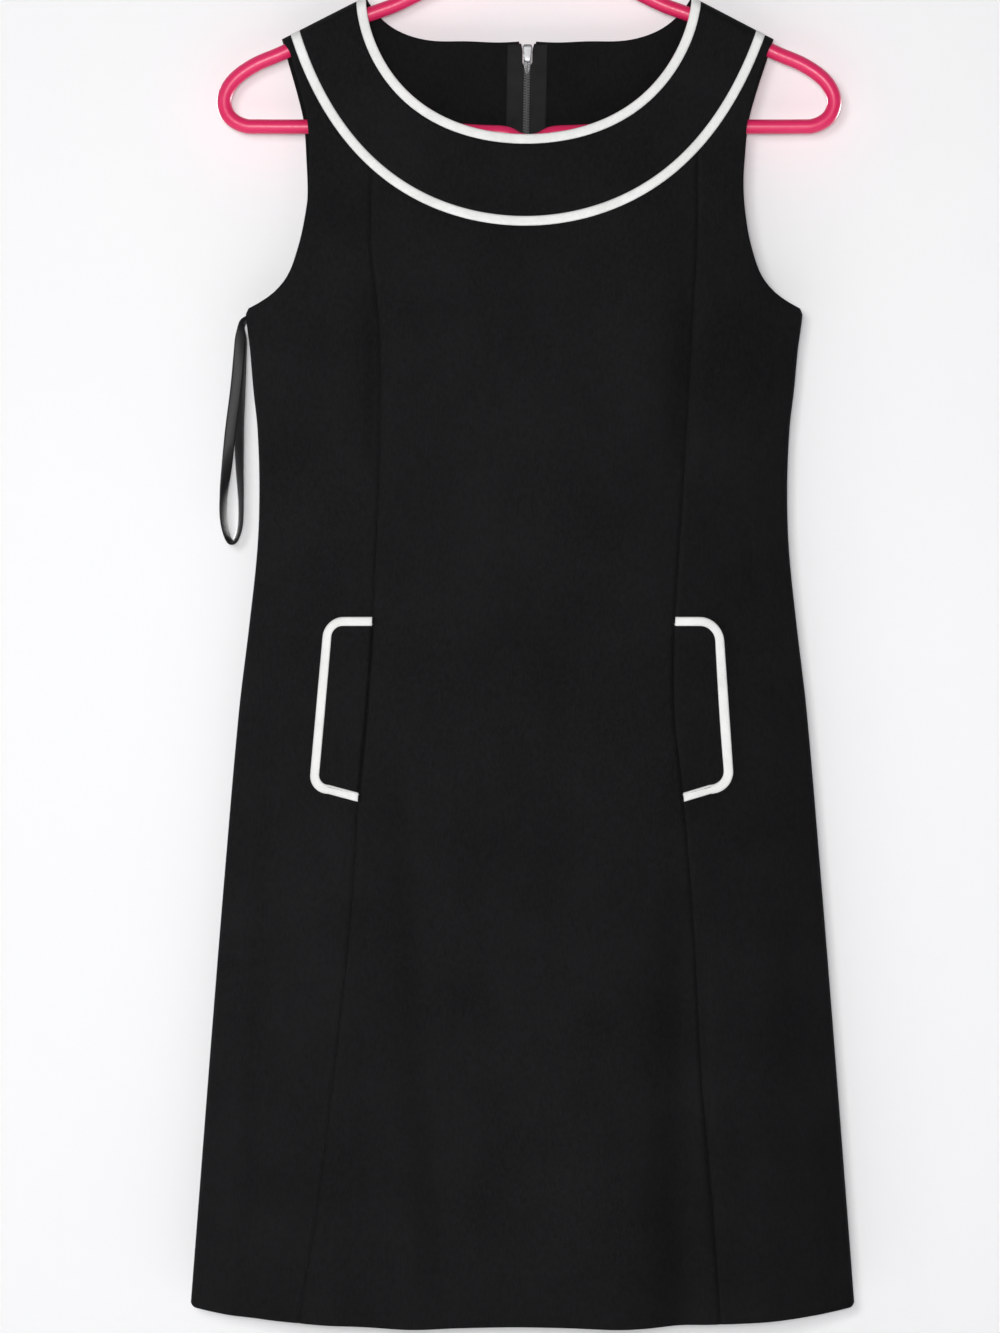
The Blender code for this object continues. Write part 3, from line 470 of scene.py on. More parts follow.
def makeMetal():
    look, nodes, link, shader = nodeLook("zipMetal")
    spot = objectSpot(nodes)
    stretch = addNode(nodes, "ShaderNodeMapping", Scale=(1.0, 1.0, 0.08))
    brush = addNode(nodes, "ShaderNodeTexNoise", Scale=3200.0, Detail=3.0, Roughness=0.6)
    wear = addNode(nodes, "ShaderNodeTexNoise", Scale=500.0, Detail=5.0, Roughness=0.7)
    link(spot, stretch.inputs["Vector"])
    link(stretch.outputs["Vector"], brush.inputs["Vector"])
    link(spot, wear.inputs["Vector"])
    colourBy(nodes, link, shader, wear.outputs["Fac"], (0.22, 0.22, 0.23), (0.40, 0.40, 0.41))
    roughBy(nodes, link, shader, wear, 0.36, 0.58)
    scratch = addBump(nodes, link, brush.outputs["Fac"], 0.3, 0.00004)
    link(scratch.outputs["Normal"], shader.inputs["Normal"])
    shader.inputs["Metallic"].default_value = 1.0
    return look


def makeThread(name, dark, light, roughness):
    look, nodes, link, shader = nodeLook(name)
    spot = objectSpot(nodes)
    twist = addNode(nodes, "ShaderNodeTexNoise", Scale=5200.0, Detail=2.0)
    link(spot, twist.inputs["Vector"])
    colourBy(nodes, link, shader, twist.outputs["Fac"], dark, light)
    ply = addBump(nodes, link, twist.outputs["Fac"], 0.5, 0.00006)
    link(ply.outputs["Normal"], shader.inputs["Normal"])
    shader.inputs["Roughness"].default_value = roughness
    shader.inputs["Specular IOR Level"].default_value = 0.3
    return look


looks = {
    "crepe": makeCrepe(),
    "binding": makeWoven("whiteBinding", (0.74, 0.74, 0.72), (0.90, 0.90, 0.885), 0.00042, 0.00009,
                         0.25, 0.75, slant=math.radians(45)),
    "zip_tape": makeWoven("zipTape", (0.007, 0.007, 0.0075), (0.017, 0.017, 0.018), 0.00055, 0.00012,
                          0.2, 0.8, slant=math.radians(30)),
    "zip_chain": makeThread("zipNylon", (0.10, 0.10, 0.102), (0.19, 0.19, 0.192), 0.42),
    "zip_metal": makeMetal(),
    "ribbon": makeSatin(),
    "hanger_plastic": makePlastic(),
    "whiteThread": makeThread("whiteThread", (0.66, 0.66, 0.64), (0.86, 0.86, 0.84), 0.6),
    "blackThread": makeThread("blackThread", (0.008, 0.008, 0.009), (0.022, 0.022, 0.024), 0.55),
}
print("materials made")


# ---- meshes from grids of points

def linkMesh(name, mesh, look):
    obj = bpy.data.objects.new(name, mesh)
    bpy.context.scene.collection.objects.link(obj)
    mesh.materials.append(looks[look])
    mesh.shade_smooth()
    return obj


def setMap(mesh, uv):  # uv has a row for each vertex, in metres
    layer = mesh.uv_layers.new(name="weave")
    corners = np.empty(len(mesh.loops), np.int32)
    mesh.loops.foreach_get("vertex_index", corners)
    layer.data.foreach_set("uv", uv[corners].astype(np.float32).ravel())


def gridQuads(rows, columns, roundColumns=False, roundRows=False):
    index = np.arange(rows * columns).reshape(rows, columns)
    if roundColumns:
        index = np.concatenate([index, index[:, :1]], 1)
    if roundRows:
        index = np.concatenate([index, index[:1]], 0)
    corners = [index[:-1, :-1], index[1:, :-1], index[1:, 1:], index[:-1, 1:]]
    return np.stack(corners, -1).reshape(-1, 4)


def runLengths(grid, axis):  # distance along rows or columns of a grid, in metres
    steps = np.linalg.norm(np.diff(grid, axis=axis), axis=-1)
    start = np.zeros_like(np.take(steps, [0], axis))
    return np.concatenate([start, np.cumsum(steps, axis)], axis)


def clothPiece(name, grid, look, facing, wall):
    # facing is -1 for a face to -Y and 1 for +Y; the wall goes in from the grid
    rows, columns = grid.shape[:2]
    quads = gridQuads(rows, columns)
    across = grid[:, 1:].mean(axis=(0, 1)) - grid[:, :-1].mean(axis=(0, 1))
    down = grid[1:].mean(axis=(0, 1)) - grid[:-1].mean(axis=(0, 1))
    if np.cross(down, across)[1] * facing < 0:
        quads = quads[:, ::-1]
    mesh = bpy.data.meshes.new(name)
    mesh.from_pydata(grid.reshape(-1, 3).tolist(), [], quads.tolist())
    uv = np.stack([runLengths(grid, 1), runLengths(grid, 0)], -1).reshape(-1, 2)
    setMap(mesh, uv)
    obj = linkMesh(name, mesh, look)
    solid = obj.modifiers.new("wall", "SOLIDIFY")
    solid.thickness = wall
    solid.offset = -1
    return obj


def tubePiece(name, rings, look, closed=False, capEnds=True):
    # rings are closed loops of points, one after another; caps close the first and last
    count, sides = rings.shape[:2]
    quads = gridQuads(count, sides, roundColumns=True, roundRows=closed).tolist()
    points = rings.reshape(-1, 3).tolist()
    lengths = runLengths(rings, 0)
    around = runLengths(np.concatenate([rings, rings[:, :1]], 1), 1)[:, :-1]
    uv = np.stack([around, lengths], -1).reshape(-1, 2)
    if capEnds and not closed:
        for ring in (0, count - 1):
            hub = len(points)
            points.append(rings[ring].mean(0).tolist())
            uv = np.concatenate([uv, uv[ring * sides:ring * sides + 1]])
            loop = [ring * sides + i for i in range(sides)]
            quads += [(hub, loop[i], loop[(i + 1) % sides]) for i in range(sides)]
    mesh = bpy.data.meshes.new(name)
    mesh.from_pydata(points, [], quads)
    setMap(mesh, uv)
    bm = bmesh.new()
    bm.from_mesh(mesh)
    bmesh.ops.recalc_face_normals(bm, faces=bm.faces)
    bm.to_mesh(mesh)
    bm.free()
    return linkMesh(name, mesh, look)


def smoothPath(points, steps, closed=False):  # Catmull-Rom through the points
    points = np.array(points, float)
    count = len(points)
    ends = [points[-1:], points, points[:2]] if closed else [points[:1], points, points[-1:]]
    padded = np.concatenate(ends)
    t = (np.arange(steps) / steps)[:, None]
    run = []
    for i in range(count if closed else count - 1):
        p0, p1, p2, p3 = padded[i:i + 4]
        run.append(0.5 * (2 * p1 + (p2 - p0) * t + (2 * p0 - 5 * p1 + 4 * p2 - p3) * t**2
                          + (3 * p1 - p0 - 3 * p2 + p3) * t**3))
    run = np.concatenate(run)
    return run if closed else np.concatenate([run, points[-1:]])


def sweepRings(path, section, widths=None, twists=None, closed=False, up=(0, -1, 0)):
    # a section of (side, up) points carried along a path, turned by twists and scaled
    ahead = np.roll(path, -1, 0) - np.roll(path, 1, 0)
    if not closed:
        ahead[0], ahead[-1] = path[1] - path[0], path[-1] - path[-2]
    ahead /= np.linalg.norm(ahead, axis=1, keepdims=True)
    up = np.array(up, float) - (ahead @ np.array(up, float))[:, None] * ahead
    up /= np.linalg.norm(up, axis=1, keepdims=True)
    side = np.cross(ahead, up)
    widths = np.ones(len(path)) if widths is None else widths
    twists = np.zeros(len(path)) if twists is None else twists
    turnedSide = side * np.cos(twists)[:, None] + up * np.sin(twists)[:, None]
    turnedUp = up * np.cos(twists)[:, None] - side * np.sin(twists)[:, None]
    section = np.array(section)
    flat = section[None, :, :1] * widths[:, None, None]
    return path[:, None] + turnedSide[:, None] * flat + turnedUp[:, None] * (
        section[None, :, 1:] * widths[:, None, None])


def roundSection(radius, sides):
    turns = np.linspace(0, 2 * math.pi, sides, endpoint=False)
    return np.stack([radius * np.cos(turns), radius * np.sin(turns)], 1)


def finishPiece(obj, body, slot, *nodes):
    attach(obj, body)
    if nodes:
        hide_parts(*nodes)


# ---- the panels

panelSet = {
    "rows": 290, "rollRows": 9, "centreColumns": 92, "sideColumns": 44, "backColumns": 40,
    "rollColumns": 9, "armholeInLeft": 0.0034, "armholeInRight": 0.0018, "hemDepth": 0.038,
    "hemRidge": 0.00022, "hemRidgeReach": 0.0016,
    "tuck": 0.0006, "tuckReach": 0.0022,    # how the fronts sink along the yoke's seam
    "dip": 0.0004, "dipReach": 0.0006,      # and the centre front under the side fronts
}


def gather(count, start=0.0, end=0.0):  # shares from 0 to 1, closer by start and end
    t = np.linspace(0, 1, count)
    middle = t - start * np.sin(math.pi * t) / math.pi * (1 - t) + end * np.sin(math.pi * t) / math.pi * t
    return (middle - middle[0]) / (middle[-1] - middle[0])


def outerEdge(z):
    return np.where(z > dress["underarm"], tableAt(armhole, "half", z), tableAt(sections, "half", z))


def frontEdge(z, sign):  # the front armhole is cut a little further in than the back
    inset = panelSet["armholeInRight"] if sign > 0 else panelSet["armholeInLeft"]
    fade = eased((armhole["height"][0] - z) / 0.012) * eased((z + 0.325) / 0.09)
    return outerEdge(z) - inset * fade


def turnedIn(distance):  # how far a turned edge drops
    return dress["edgeDrop"] * (1 - rolled(distance, dress["edgeRoll"]))


def rolledColumns(shares):  # weight across for each column, and its pull round the roll
    turns = np.linspace(math.pi / 2, 0, panelSet["rollColumns"])
    weights = np.concatenate([shares[:-1], np.ones(len(turns))])[None]
    return weights, np.concatenate([np.zeros(len(shares) - 1), 1 - np.cos(turns)])[None]


def rollWidth(z):  # the side seam rolls wide, the armhole's edge is narrow
    t = eased((-0.335 - z) / 0.0255)
    return dress["edgeRoll"] + (dress["sideRoll"] - dress["edgeRoll"]) * t


def levels(top, low):  # heights of the rows, close together at both ends
    run = top + (low - top) * gather(panelSet["rows"], start=0.75, end=0.75)
    turns = np.linspace(0, math.pi / 2, panelSet["rollRows"])
    rollHeights = top - dress["shoulderRoll"] * (1 - np.cos(turns))
    return np.concatenate([rollHeights, run[run < rollHeights[-1] - 0.0006]])


def hemRidge(z, hem):  # the top of the turned hem shows faintly
    return panelSet["hemRidge"] * bump(z - hem - panelSet["hemDepth"], panelSet["hemRidgeReach"])


def makeCentreFront():
    shares = gather(panelSet["centreColumns"], start=0.85, end=0.85)[None]
    tops = {side: princessTop(side) for side in ("left", "right")}
    half = -dress["gap"]    # it reaches a little under the side fronts
    topX = tableAt(princess, "left", tops["left"]) + half
    topX = topX + (tableAt(princess, "right", tops["right"]) - half - topX) * shares
    lowX = tableAt(princess, "left", dress["hemSide"]) * (1 - shares)
    lowX = lowX + tableAt(princess, "right", dress["hemSide"]) * shares
    topZ, lowZ = yokeSeamZ(topX), frontHem(lowX)
    run = gather(panelSet["rows"], start=0.8, end=0.8)[:, None]
    z = topZ + (lowZ - topZ) * run
    left, right = tableAt(princess, "left", z) + half, tableAt(princess, "right", z) - half
    x = left + (right - left) * shares
    grid = frontPoints(x, z)
    slope = 1 / np.sqrt(1 + np.gradient(topZ[0], topX[0]) ** 2)
    tuck = panelSet["tuck"] * bump((topZ - z) * slope, panelSet["tuckReach"])
    grid[..., 1] += tuck + turnedIn(z - lowZ)
    grid[..., 1] += panelSet["dip"] * bump(np.minimum(x - left, right - x), panelSet["dipReach"])
    grid[..., 1] -= hemRidge(z, lowZ)
    return clothPiece("front_centre_cloth", grid, "crepe", -1, dress["cloth"])


def makeSideFront(side, sign):
    seamTop = princessTop(side)
    weights, pull = rolledColumns(gather(panelSet["sideColumns"], start=0.85))
    topZ = float(oval(yokeSeam, seamEnd)[1])
    rows = levels(topZ, dress["hemSide"])

    def seamStart(z):
        onYoke = yokeSeamX(z)
        onSeam = np.abs(tableAt(princess, side, z)) + dress["gap"] / 2
        return np.where(z > seamTop, onYoke, onSeam)

    tilt = 1 - eased((topZ - rows) / 0.10)[:, None]
    hemBlend = eased((dress["hemSide"] + 0.10 - rows) / 0.10)[:, None]
    z = rows[:, None] + 0 * weights
    for _ in range(5):
        start = seamStart(z)
        end = frontEdge(z, sign)
        roll = rollWidth(z)
        inner = end - roll
        x = np.where(pull + weights >= 1, end - roll * pull, start + (inner - start) * weights)
        z = rows[:, None] + tilt * (shoulderLine(x) - shoulderLine(start[:, :1]))
        z = z + hemBlend * (frontHem(sign * x) - dress["hemSide"])
    grid = frontPoints(sign * x, z)
    aboveSeam = (z > seamTop)
    grid[..., 1] += panelSet["tuck"] * bump(x - yokeSeamX(z), panelSet["tuckReach"]) * aboveSeam
    armholeEdge = turnedIn(frontEdge(z, sign) - x) * eased((z - dress["underarm"]) / 0.006)
    grid[..., 1] += armholeEdge + turnedIn(z - frontHem(sign * x)) - hemRidge(z, frontHem(sign * x))
    return clothPiece(f"front_side_{side}_cloth", grid, "crepe", -1, dress["cloth"])


backNeck = {"half": 0.1171, "drop": 0.0307, "curve": 6.2, "wave": 0.00045, "waves": 130.0}
zipSet = {
    "top": -0.1675, "length": 0.500, "notchTop": 0.0064, "notch": 0.0037, "notchBottom": -0.1810,
    "notchClosed": -0.1900, "tapeEdge": 0.0145, "tape": 0.0006,
    "coilPitch": 0.00115, "coilWidth": 0.0024, "coilThick": 0.00030, "coilRise": 0.0009,
    "sliderLength": 0.0120, "sliderWidth": 0.0066, "sliderThick": 0.0044,
    "crownRise": 0.0032, "crownHalf": 0.0031, "crownRadius": 0.00055,
    "pullLength": 0.0260, "pullWidth": 0.0060, "pullThick": 0.0013, "pullBar": 0.00065,
    "pullEye": 0.0047, "pullEyeWidth": 0.0026, "pullTilt": math.radians(3),
}


def backTopLine(x):
    share = np.clip(np.abs(x) / backNeck["half"], 0, 1)
    neck = shoulderLine(backNeck["half"]) - backNeck["drop"] * (1 - share ** backNeck["curve"])
    neck = neck + backNeck["wave"] * np.sin(backNeck["waves"] * np.abs(x) + 1.9) * (1 - share**2)
    return np.where(np.abs(x) < backNeck["half"], neck, shoulderLine(x))


def centreBackEdge(z):
    z = np.asarray(z, float)
    t = np.clip((z - zipSet["notchBottom"]) / (backTopLine(0) - zipSet["notchBottom"]), 0, 2)
    above = zipSet["notch"] + (zipSet["notchTop"] - zipSet["notch"]) * t**2
    t = (zipSet["notchBottom"] - z) / (zipSet["notchBottom"] - zipSet["notchClosed"])
    below = zipSet["notch"] * (1 - eased(t))
    return np.where(z > zipSet["notchBottom"], above, below)


def makeBack(side, sign):
    neckShare = 0.60
    innerShares = neckShare * gather(panelSet["backColumns"], start=0.8, end=0.7)
    outerShares = neckShare + (1 - neckShare) * gather(panelSet["backColumns"] // 2, start=0.6)
    weights, pull = rolledColumns(np.concatenate([innerShares, outerShares[1:]]))
    rollTurns = np.linspace(0, math.pi / 2, panelSet["rollRows"])
    fullFall, rollEnd = 0.91, 0.012    # down the panel, and where its even rows start
    fall = np.concatenate([dress["shoulderRoll"] * (1 - np.cos(rollTurns)),
                           rollEnd + (fullFall - rollEnd) * gather(panelSet["rows"], end=0.8)])[:, None]
    z = -0.16 - fall + 0 * weights
    for _ in range(12):
        roll = rollWidth(z)
        end = outerEdge(z)
        start = centreBackEdge(z)
        # the column of the neck's corner keeps to the corner near the top
        corner = start + (end - roll - start) * neckShare
        keep = 1 - eased(fall / 0.25)
        nearCorner = np.minimum(weights / neckShare, (1 - weights) / (1 - neckShare))
        shift = (backNeck["half"] - corner) * keep * nearCorner
        x = np.where(pull + weights >= 1, end - roll * pull, start + (end - roll - start) * weights
                     + shift)
        top, low = backTopLine(x), hemLine(x, dress["hemBack"])
        z = top + (low - top) * fall / fullFall
    grid = backPoints(sign * x, z)
    grid[..., 1] -= turnedIn(z - low) + turnedIn(top - z) * (x < backNeck["half"])
    grid[..., 1] -= turnedIn(outerEdge(z) - x) * eased((z - dress["underarm"]) / 0.006)
    grid[..., 1] -= turnedIn(x - centreBackEdge(z)) * eased((z + 0.215) / 0.02)
    grid[..., 1] += hemRidge(z, low)
    return clothPiece(f"back_{side}_cloth", grid, "crepe", 1, dress["cloth"])


def collarGrid(inner, outer, columns, raised):
    # a strip between two curves round the neck; raised has a value for each column
    shares = np.sin(np.linspace(-1, 1, collar["steps"]) * math.pi / 2)
    strips = []
    for t, rise in zip(columns, raised):
        curve = [a + t * (b - a) for a, b in zip(inner, outer)]
        x, z = oval(curve, shoulderTurn(curve) * shares)
        strips.append(frontPoints(x, z, rise, seams=False))
    return np.stack(strips)


def makeYoke():
    inner = grown(collar["neck"], collar["binding"] + dress["gap"])
    outer = grown(collar["yoke"], -dress["gap"])
    columns = gather(34, start=0.8, end=0.8)
    width = outer[2] - inner[2]
    raised = [-0.0006 * (bump(t * width, 0.002) + bump((1 - t) * width, 0.002)) for t in columns]
    return clothPiece("yoke_cloth", collarGrid(inner, outer, columns, raised), "crepe", -1,
                      dress["cloth"])


def domeAt(t):
    return collar["proud"] + collar["dome"] * (1 - np.abs(2 * t - 1) ** 3) ** 0.6


def domeProfile(steps):  # across a binding and back again underneath: share and height
    t = np.linspace(0, 1, steps)
    share = np.concatenate([t, t[::-1][1:-1]])
    height = np.concatenate([domeAt(t), np.full(steps - 2, collar["under"])])
    return share, height


def makeCollarBinding(name, curve):
    share, height = domeProfile(15)
    inner, outer = grown(curve, -collar["lap"]), grown(curve, collar["binding"] + collar["lap"])
    strips = collarGrid(inner, outer, share, height)
    return tubePiece(name, strips.transpose(1, 0, 2), "binding")


frontCentre = makeCentreFront()
fronts = {side: makeSideFront(side, sign) for side, sign in (("left", -1), ("right", 1))}
backs = {side: makeBack(side, sign) for side, sign in (("left", -1), ("right", 1))}
yoke = makeYoke()
neckBinding = makeCollarBinding("neck_binding_cloth", collar["neck"])
yokeBinding = makeCollarBinding("yoke_binding_cloth", collar["yoke"])
print("panels and collar bindings made")


# ---- pocket flaps

flapSet = {
    "top": -0.5813, "bottom": -0.7130, "rise": 0.0055, "width": 0.0355,
    "binding": 0.0062, "turns": 13, "sideRows": 30, "columns": 12, "raised": 0.0017,
    "bindingRaised": 0.0021, "lift": 0.0007,
    "left": {"sign": -1, "outerTop": 0.1420, "outerLow": 0.1535, "corner": 0.0140},
    "right": {"sign": 1, "outerTop": 0.1425, "outerLow": 0.1515, "corner": 0.0170},
}


def flapStart(side, z):
    return tableAt(princess, side, z) + flapSet[side]["sign"] * dress["gap"]


def flapSide(side, z):
    t = (z - flapSet["top"]) / (flapSet["bottom"] - flapSet["top"])
    return flapSet[side]["sign"] * (flapSet[side]["outerTop"]
                                    + (flapSet[side]["outerLow"] - flapSet[side]["outerTop"]) * t)


def flapOutline(side, inset):  # shares across the flap, and heights, round its free edge
    radius = flapSet[side]["corner"] - inset
    top, bottom = flapSet["top"] - inset, flapSet["bottom"] + inset
    cornerLow = bottom + flapSet["rise"] + radius
    corner, run = radius / flapSet["width"], 1 - (radius + inset) / flapSet["width"]
    turns = np.linspace(0, math.pi / 2, flapSet["turns"])
    columns = np.linspace(0, 1, flapSet["columns"], endpoint=False)
    down = np.linspace(top - radius, cornerLow, flapSet["sideRows"])[1:-1]
    share = np.concatenate([run * columns, run + corner * np.sin(turns), run + corner + 0 * down,
                            run + corner * np.cos(turns), run * columns[::-1]])
    z = np.concatenate([top + 0 * columns, top - radius * (1 - np.cos(turns)), down,
                        cornerLow - radius * np.sin(turns), bottom + flapSet["rise"] * columns[::-1]])
    return share, z


def flapPoints(side, share, z, raised):
    start, end = flapStart(side, z), flapSide(side, z)
    return frontPoints(start + (end - start) * share, z, raised + flapSet["lift"] * share**2)


def makeFlap(side):
    share, z = flapOutline(side, flapSet["binding"] - 0.0012)
    count = flapSet["columns"]
    ends, sideZ = share[count:-count], z[count:-count]
    topZ, bottomZ = z[0], z[-1]
    startZ = topZ + (bottomZ - topZ) * (topZ - sideZ) / (topZ - sideZ[-1])
    across = np.linspace(0, 1, 18)[None]
    gridZ = startZ[:, None] + (sideZ - startZ)[:, None] * across
    grid = flapPoints(side, ends[:, None] * across, gridZ, flapSet["raised"])
    return clothPiece(f"pocket_flap_{side}_cloth", grid, "crepe", -1, dress["cloth"])


def makeFlapBinding(side):
    t, height = domeProfile(15)
    strips = []
    for place, rise in zip(t, height):
        share, z = flapOutline(side, place * (flapSet["binding"] + collar["lap"]))
        strips.append(flapPoints(side, share, z, flapSet["bindingRaised"] + rise))
    return tubePiece(f"flap_binding_{side}_cloth", np.stack(strips, 1), "binding")


flaps = {side: makeFlap(side) for side in ("left", "right")}
flapBindings = {side: makeFlapBinding(side) for side in ("left", "right")}
print("pocket flaps made")


# ---- geometry node trees for what repeats along a path

def startTree(name, numbers, materialName):
    tree = bpy.data.node_groups.new(name, "GeometryNodeTree")
    tree.interface.new_socket(name="Path", in_out="INPUT", socket_type="NodeSocketGeometry")
    for label, value in numbers.items():
        kind = "NodeSocketInt" if isinstance(value, int) else "NodeSocketFloat"
        tree.interface.new_socket(name=label, in_out="INPUT", socket_type=kind).default_value = value
    tree.interface.new_socket(name=materialName, in_out="INPUT", socket_type="NodeSocketMaterial")
    tree.interface.new_socket(name="Mesh", in_out="OUTPUT", socket_type="NodeSocketGeometry")
    return tree, tree.nodes.new("NodeGroupInput"), tree.nodes.new("NodeGroupOutput")


def pointsAlong(tree, given):  # evenly spaced points on the path
    link = tree.links.new
    curve = tree.nodes.new("GeometryNodeMeshToCurve")
    points = tree.nodes.new("GeometryNodeCurveToPoints")
    points.mode = "LENGTH"
    link(given.outputs["Path"], curve.inputs["Mesh"])
    link(curve.outputs[0], points.inputs["Curve"])
    link(given.outputs["Pitch"], points.inputs["Length"])
    return points


def finishTree(tree, instances, given, materialName, out):
    link = tree.links.new
    real = tree.nodes.new("GeometryNodeRealizeInstances")
    smooth = tree.nodes.new("GeometryNodeSetShadeSmooth")
    paint = tree.nodes.new("GeometryNodeSetMaterial")
    link(instances, real.inputs[0])
    link(real.outputs[0], smooth.inputs[0])
    link(smooth.outputs[0], paint.inputs["Geometry"])
    link(given.outputs[materialName], paint.inputs["Material"])
    link(paint.outputs[0], out.inputs[0])


def makeStitchTree():  # a running stitch: short rounded threads laid along the path
    tree, given, out = startTree("runningStitch", {"Pitch": 0.0025, "Length": 0.0019, "Thickness": 0.0004,
                                                   "Wander": 0.08, "Seed": 3}, "Thread")
    nodes, link = tree.nodes, tree.links.new
    points = pointsAlong(tree, given)
    bead = nodes.new("GeometryNodeMeshUVSphere")
    bead.inputs["Segments"].default_value, bead.inputs["Rings"].default_value = 8, 6
    bead.inputs["Radius"].default_value = 0.5
    size = nodes.new("ShaderNodeCombineXYZ")
    aim = nodes.new("FunctionNodeAlignRotationToVector")
    aim.axis = "X"
    stray = nodes.new("FunctionNodeRandomValue")
    stray.data_type = "FLOAT_VECTOR"
    spin = nodes.new("FunctionNodeRotateRotation")
    less = nodes.new("ShaderNodeMath")
    less.operation = "MULTIPLY"
    less.inputs[1].default_value = -1.0
    place = nodes.new("GeometryNodeInstanceOnPoints")
    link(points.outputs["Tangent"], aim.inputs["Vector"])
    link(given.outputs["Wander"], less.inputs[0])
    link(less.outputs[0], stray.inputs[0])
    link(given.outputs["Wander"], stray.inputs[1])
    link(given.outputs["Seed"], stray.inputs["Seed"])
    link(aim.outputs[0], spin.inputs["Rotation"])
    link(stray.outputs[0], spin.inputs["Rotate By"])
    link(given.outputs["Length"], size.inputs["X"])
    link(given.outputs["Thickness"], size.inputs["Y"])
    link(given.outputs["Thickness"], size.inputs["Z"])
    link(points.outputs["Points"], place.inputs["Points"])
    link(bead.outputs["Mesh"], place.inputs["Instance"])
    link(spin.outputs[0], place.inputs["Rotation"])
    link(size.outputs[0], place.inputs["Scale"])
    finishTree(tree, place.outputs[0], given, "Thread", out)
    return tree


def makeCoilTree():  # the turns of a nylon zip coil, standing along the path
    tree, given, out = startTree("zipCoil", {"Pitch": 0.0011, "Width": 0.0024, "Rise": 0.0009,
                                             "Thickness": 0.0003}, "Nylon")
    nodes, link = tree.nodes, tree.links.new
    points = pointsAlong(tree, given)
    ring = nodes.new("GeometryNodeCurvePrimitiveCircle")
    ring.inputs["Resolution"].default_value, ring.inputs["Radius"].default_value = 10, 0.5
    shape = nodes.new("ShaderNodeCombineXYZ")
    stretch = nodes.new("GeometryNodeTransform")
    section = nodes.new("GeometryNodeCurvePrimitiveCircle")
    section.inputs["Resolution"].default_value = 6
    wire = nodes.new("GeometryNodeCurveToMesh")
    face = nodes.new("FunctionNodeAxesToRotation")
    face.primary_axis, face.secondary_axis = "Z", "X"
    face.inputs["Secondary Axis"].default_value = (1, 0, 0)
    place = nodes.new("GeometryNodeInstanceOnPoints")
    link(points.outputs["Tangent"], face.inputs["Primary Axis"])
    link(given.outputs["Width"], shape.inputs["X"])
    link(given.outputs["Rise"], shape.inputs["Y"])
    shape.inputs["Z"].default_value = 1.0
    link(ring.outputs["Curve"], stretch.inputs["Geometry"])
    link(shape.outputs[0], stretch.inputs["Scale"])
    stretch.inputs["Rotation"].default_value = (math.radians(14), 0, 0)
    link(given.outputs["Thickness"], section.inputs["Radius"])
    link(stretch.outputs["Geometry"], wire.inputs["Curve"])
    link(section.outputs["Curve"], wire.inputs["Profile Curve"])
    link(points.outputs["Points"], place.inputs["Points"])
    link(wire.outputs["Mesh"], place.inputs["Instance"])
    link(face.outputs[0], place.inputs["Rotation"])
    finishTree(tree, place.outputs[0], given, "Nylon", out)
    return tree


def runTree(name, tree, paths, look, materialName, **numbers):
    # paths are lists of points; the result is a plain mesh with nothing live on it
    points, edges = [], []
    for path in paths:
        edges += [(len(points) + i, len(points) + i + 1) for i in range(len(path) - 1)]
        points += [tuple(p) for p in path]
    guide = bpy.data.meshes.new(name + "Path")
    guide.from_pydata(points, edges, [])
    obj = bpy.data.objects.new(name, guide)
    bpy.context.scene.collection.objects.link(obj)
    modifier = obj.modifiers.new("tree", "NODES")
    modifier.node_group = tree
    sockets = {item.name: item.identifier for item in tree.interface.items_tree
               if item.in_out == "INPUT"}
    for label, value in numbers.items():
        modifier[sockets[label]] = value
    modifier[sockets[materialName]] = looks[look]
    graph = bpy.context.evaluated_depsgraph_get()
    mesh = bpy.data.meshes.new_from_object(obj.evaluated_get(graph))
    obj.modifiers.remove(modifier)
    obj.data = mesh
    bpy.data.meshes.remove(guide)
    mesh.name = name
    return obj


stitchTree = makeStitchTree()
coilTree = makeCoilTree()


# ---- stitches

stitchSet = {"pitch": 0.0026, "length": 0.0020, "thick": 0.00042, "hemPitch": 0.0085, "hemLength": 0.0011,
             "inset": 0.0011, "zipAside": 0.0075}


def collarPath(curve, outward, raised):
    line = grown(curve, outward)
    turn = shoulderTurn(line) * np.linspace(-0.995, 0.995, 400)
    x, z = oval(line, turn)
    return frontPoints(x, z, raised, seams=False)


def flapPath(side, inset, raised):
    share, z = flapOutline(side, inset)
    return flapPoints(side, share, z, raised)


edgeShare = 1 - stitchSet["inset"] / collar["binding"]
stitchRise = domeAt(edgeShare) - 0.00005
whitePaths = [collarPath(collar["neck"], collar["binding"] * edgeShare, stitchRise),
              collarPath(collar["yoke"], collar["binding"] * (1 - edgeShare), stitchRise)]
for side in ("left", "right"):
    whitePaths.append(flapPath(side, flapSet["binding"] * edgeShare,
                               flapSet["bindingRaised"] + stitchRise))
whiteStitches = runTree("binding_stitches", stitchTree, whitePaths, "whiteThread", "Thread",
                        Pitch=stitchSet["pitch"], Length=stitchSet["length"],
                        Thickness=stitchSet["thick"])

zipZ = np.linspace(-0.172, zipSet["top"] - zipSet["length"] - 0.006, 300)
blackPaths = []
for sign in (-1, 1):
    aside = sign * np.maximum(stitchSet["zipAside"], centreBackEdge(zipZ) + 0.0016)
    blackPaths.append(backPoints(aside, zipZ, 0.00002))
across = np.linspace(-stitchSet["zipAside"], stitchSet["zipAside"], 12)
blackPaths.append(backPoints(across, zipZ[-1] + 0 * across, 0.00002))
zipStitches = runTree("zip_stitches", stitchTree, blackPaths, "blackThread", "Thread",
                      Pitch=stitchSet["pitch"], Length=stitchSet["length"], Thickness=0.0004)

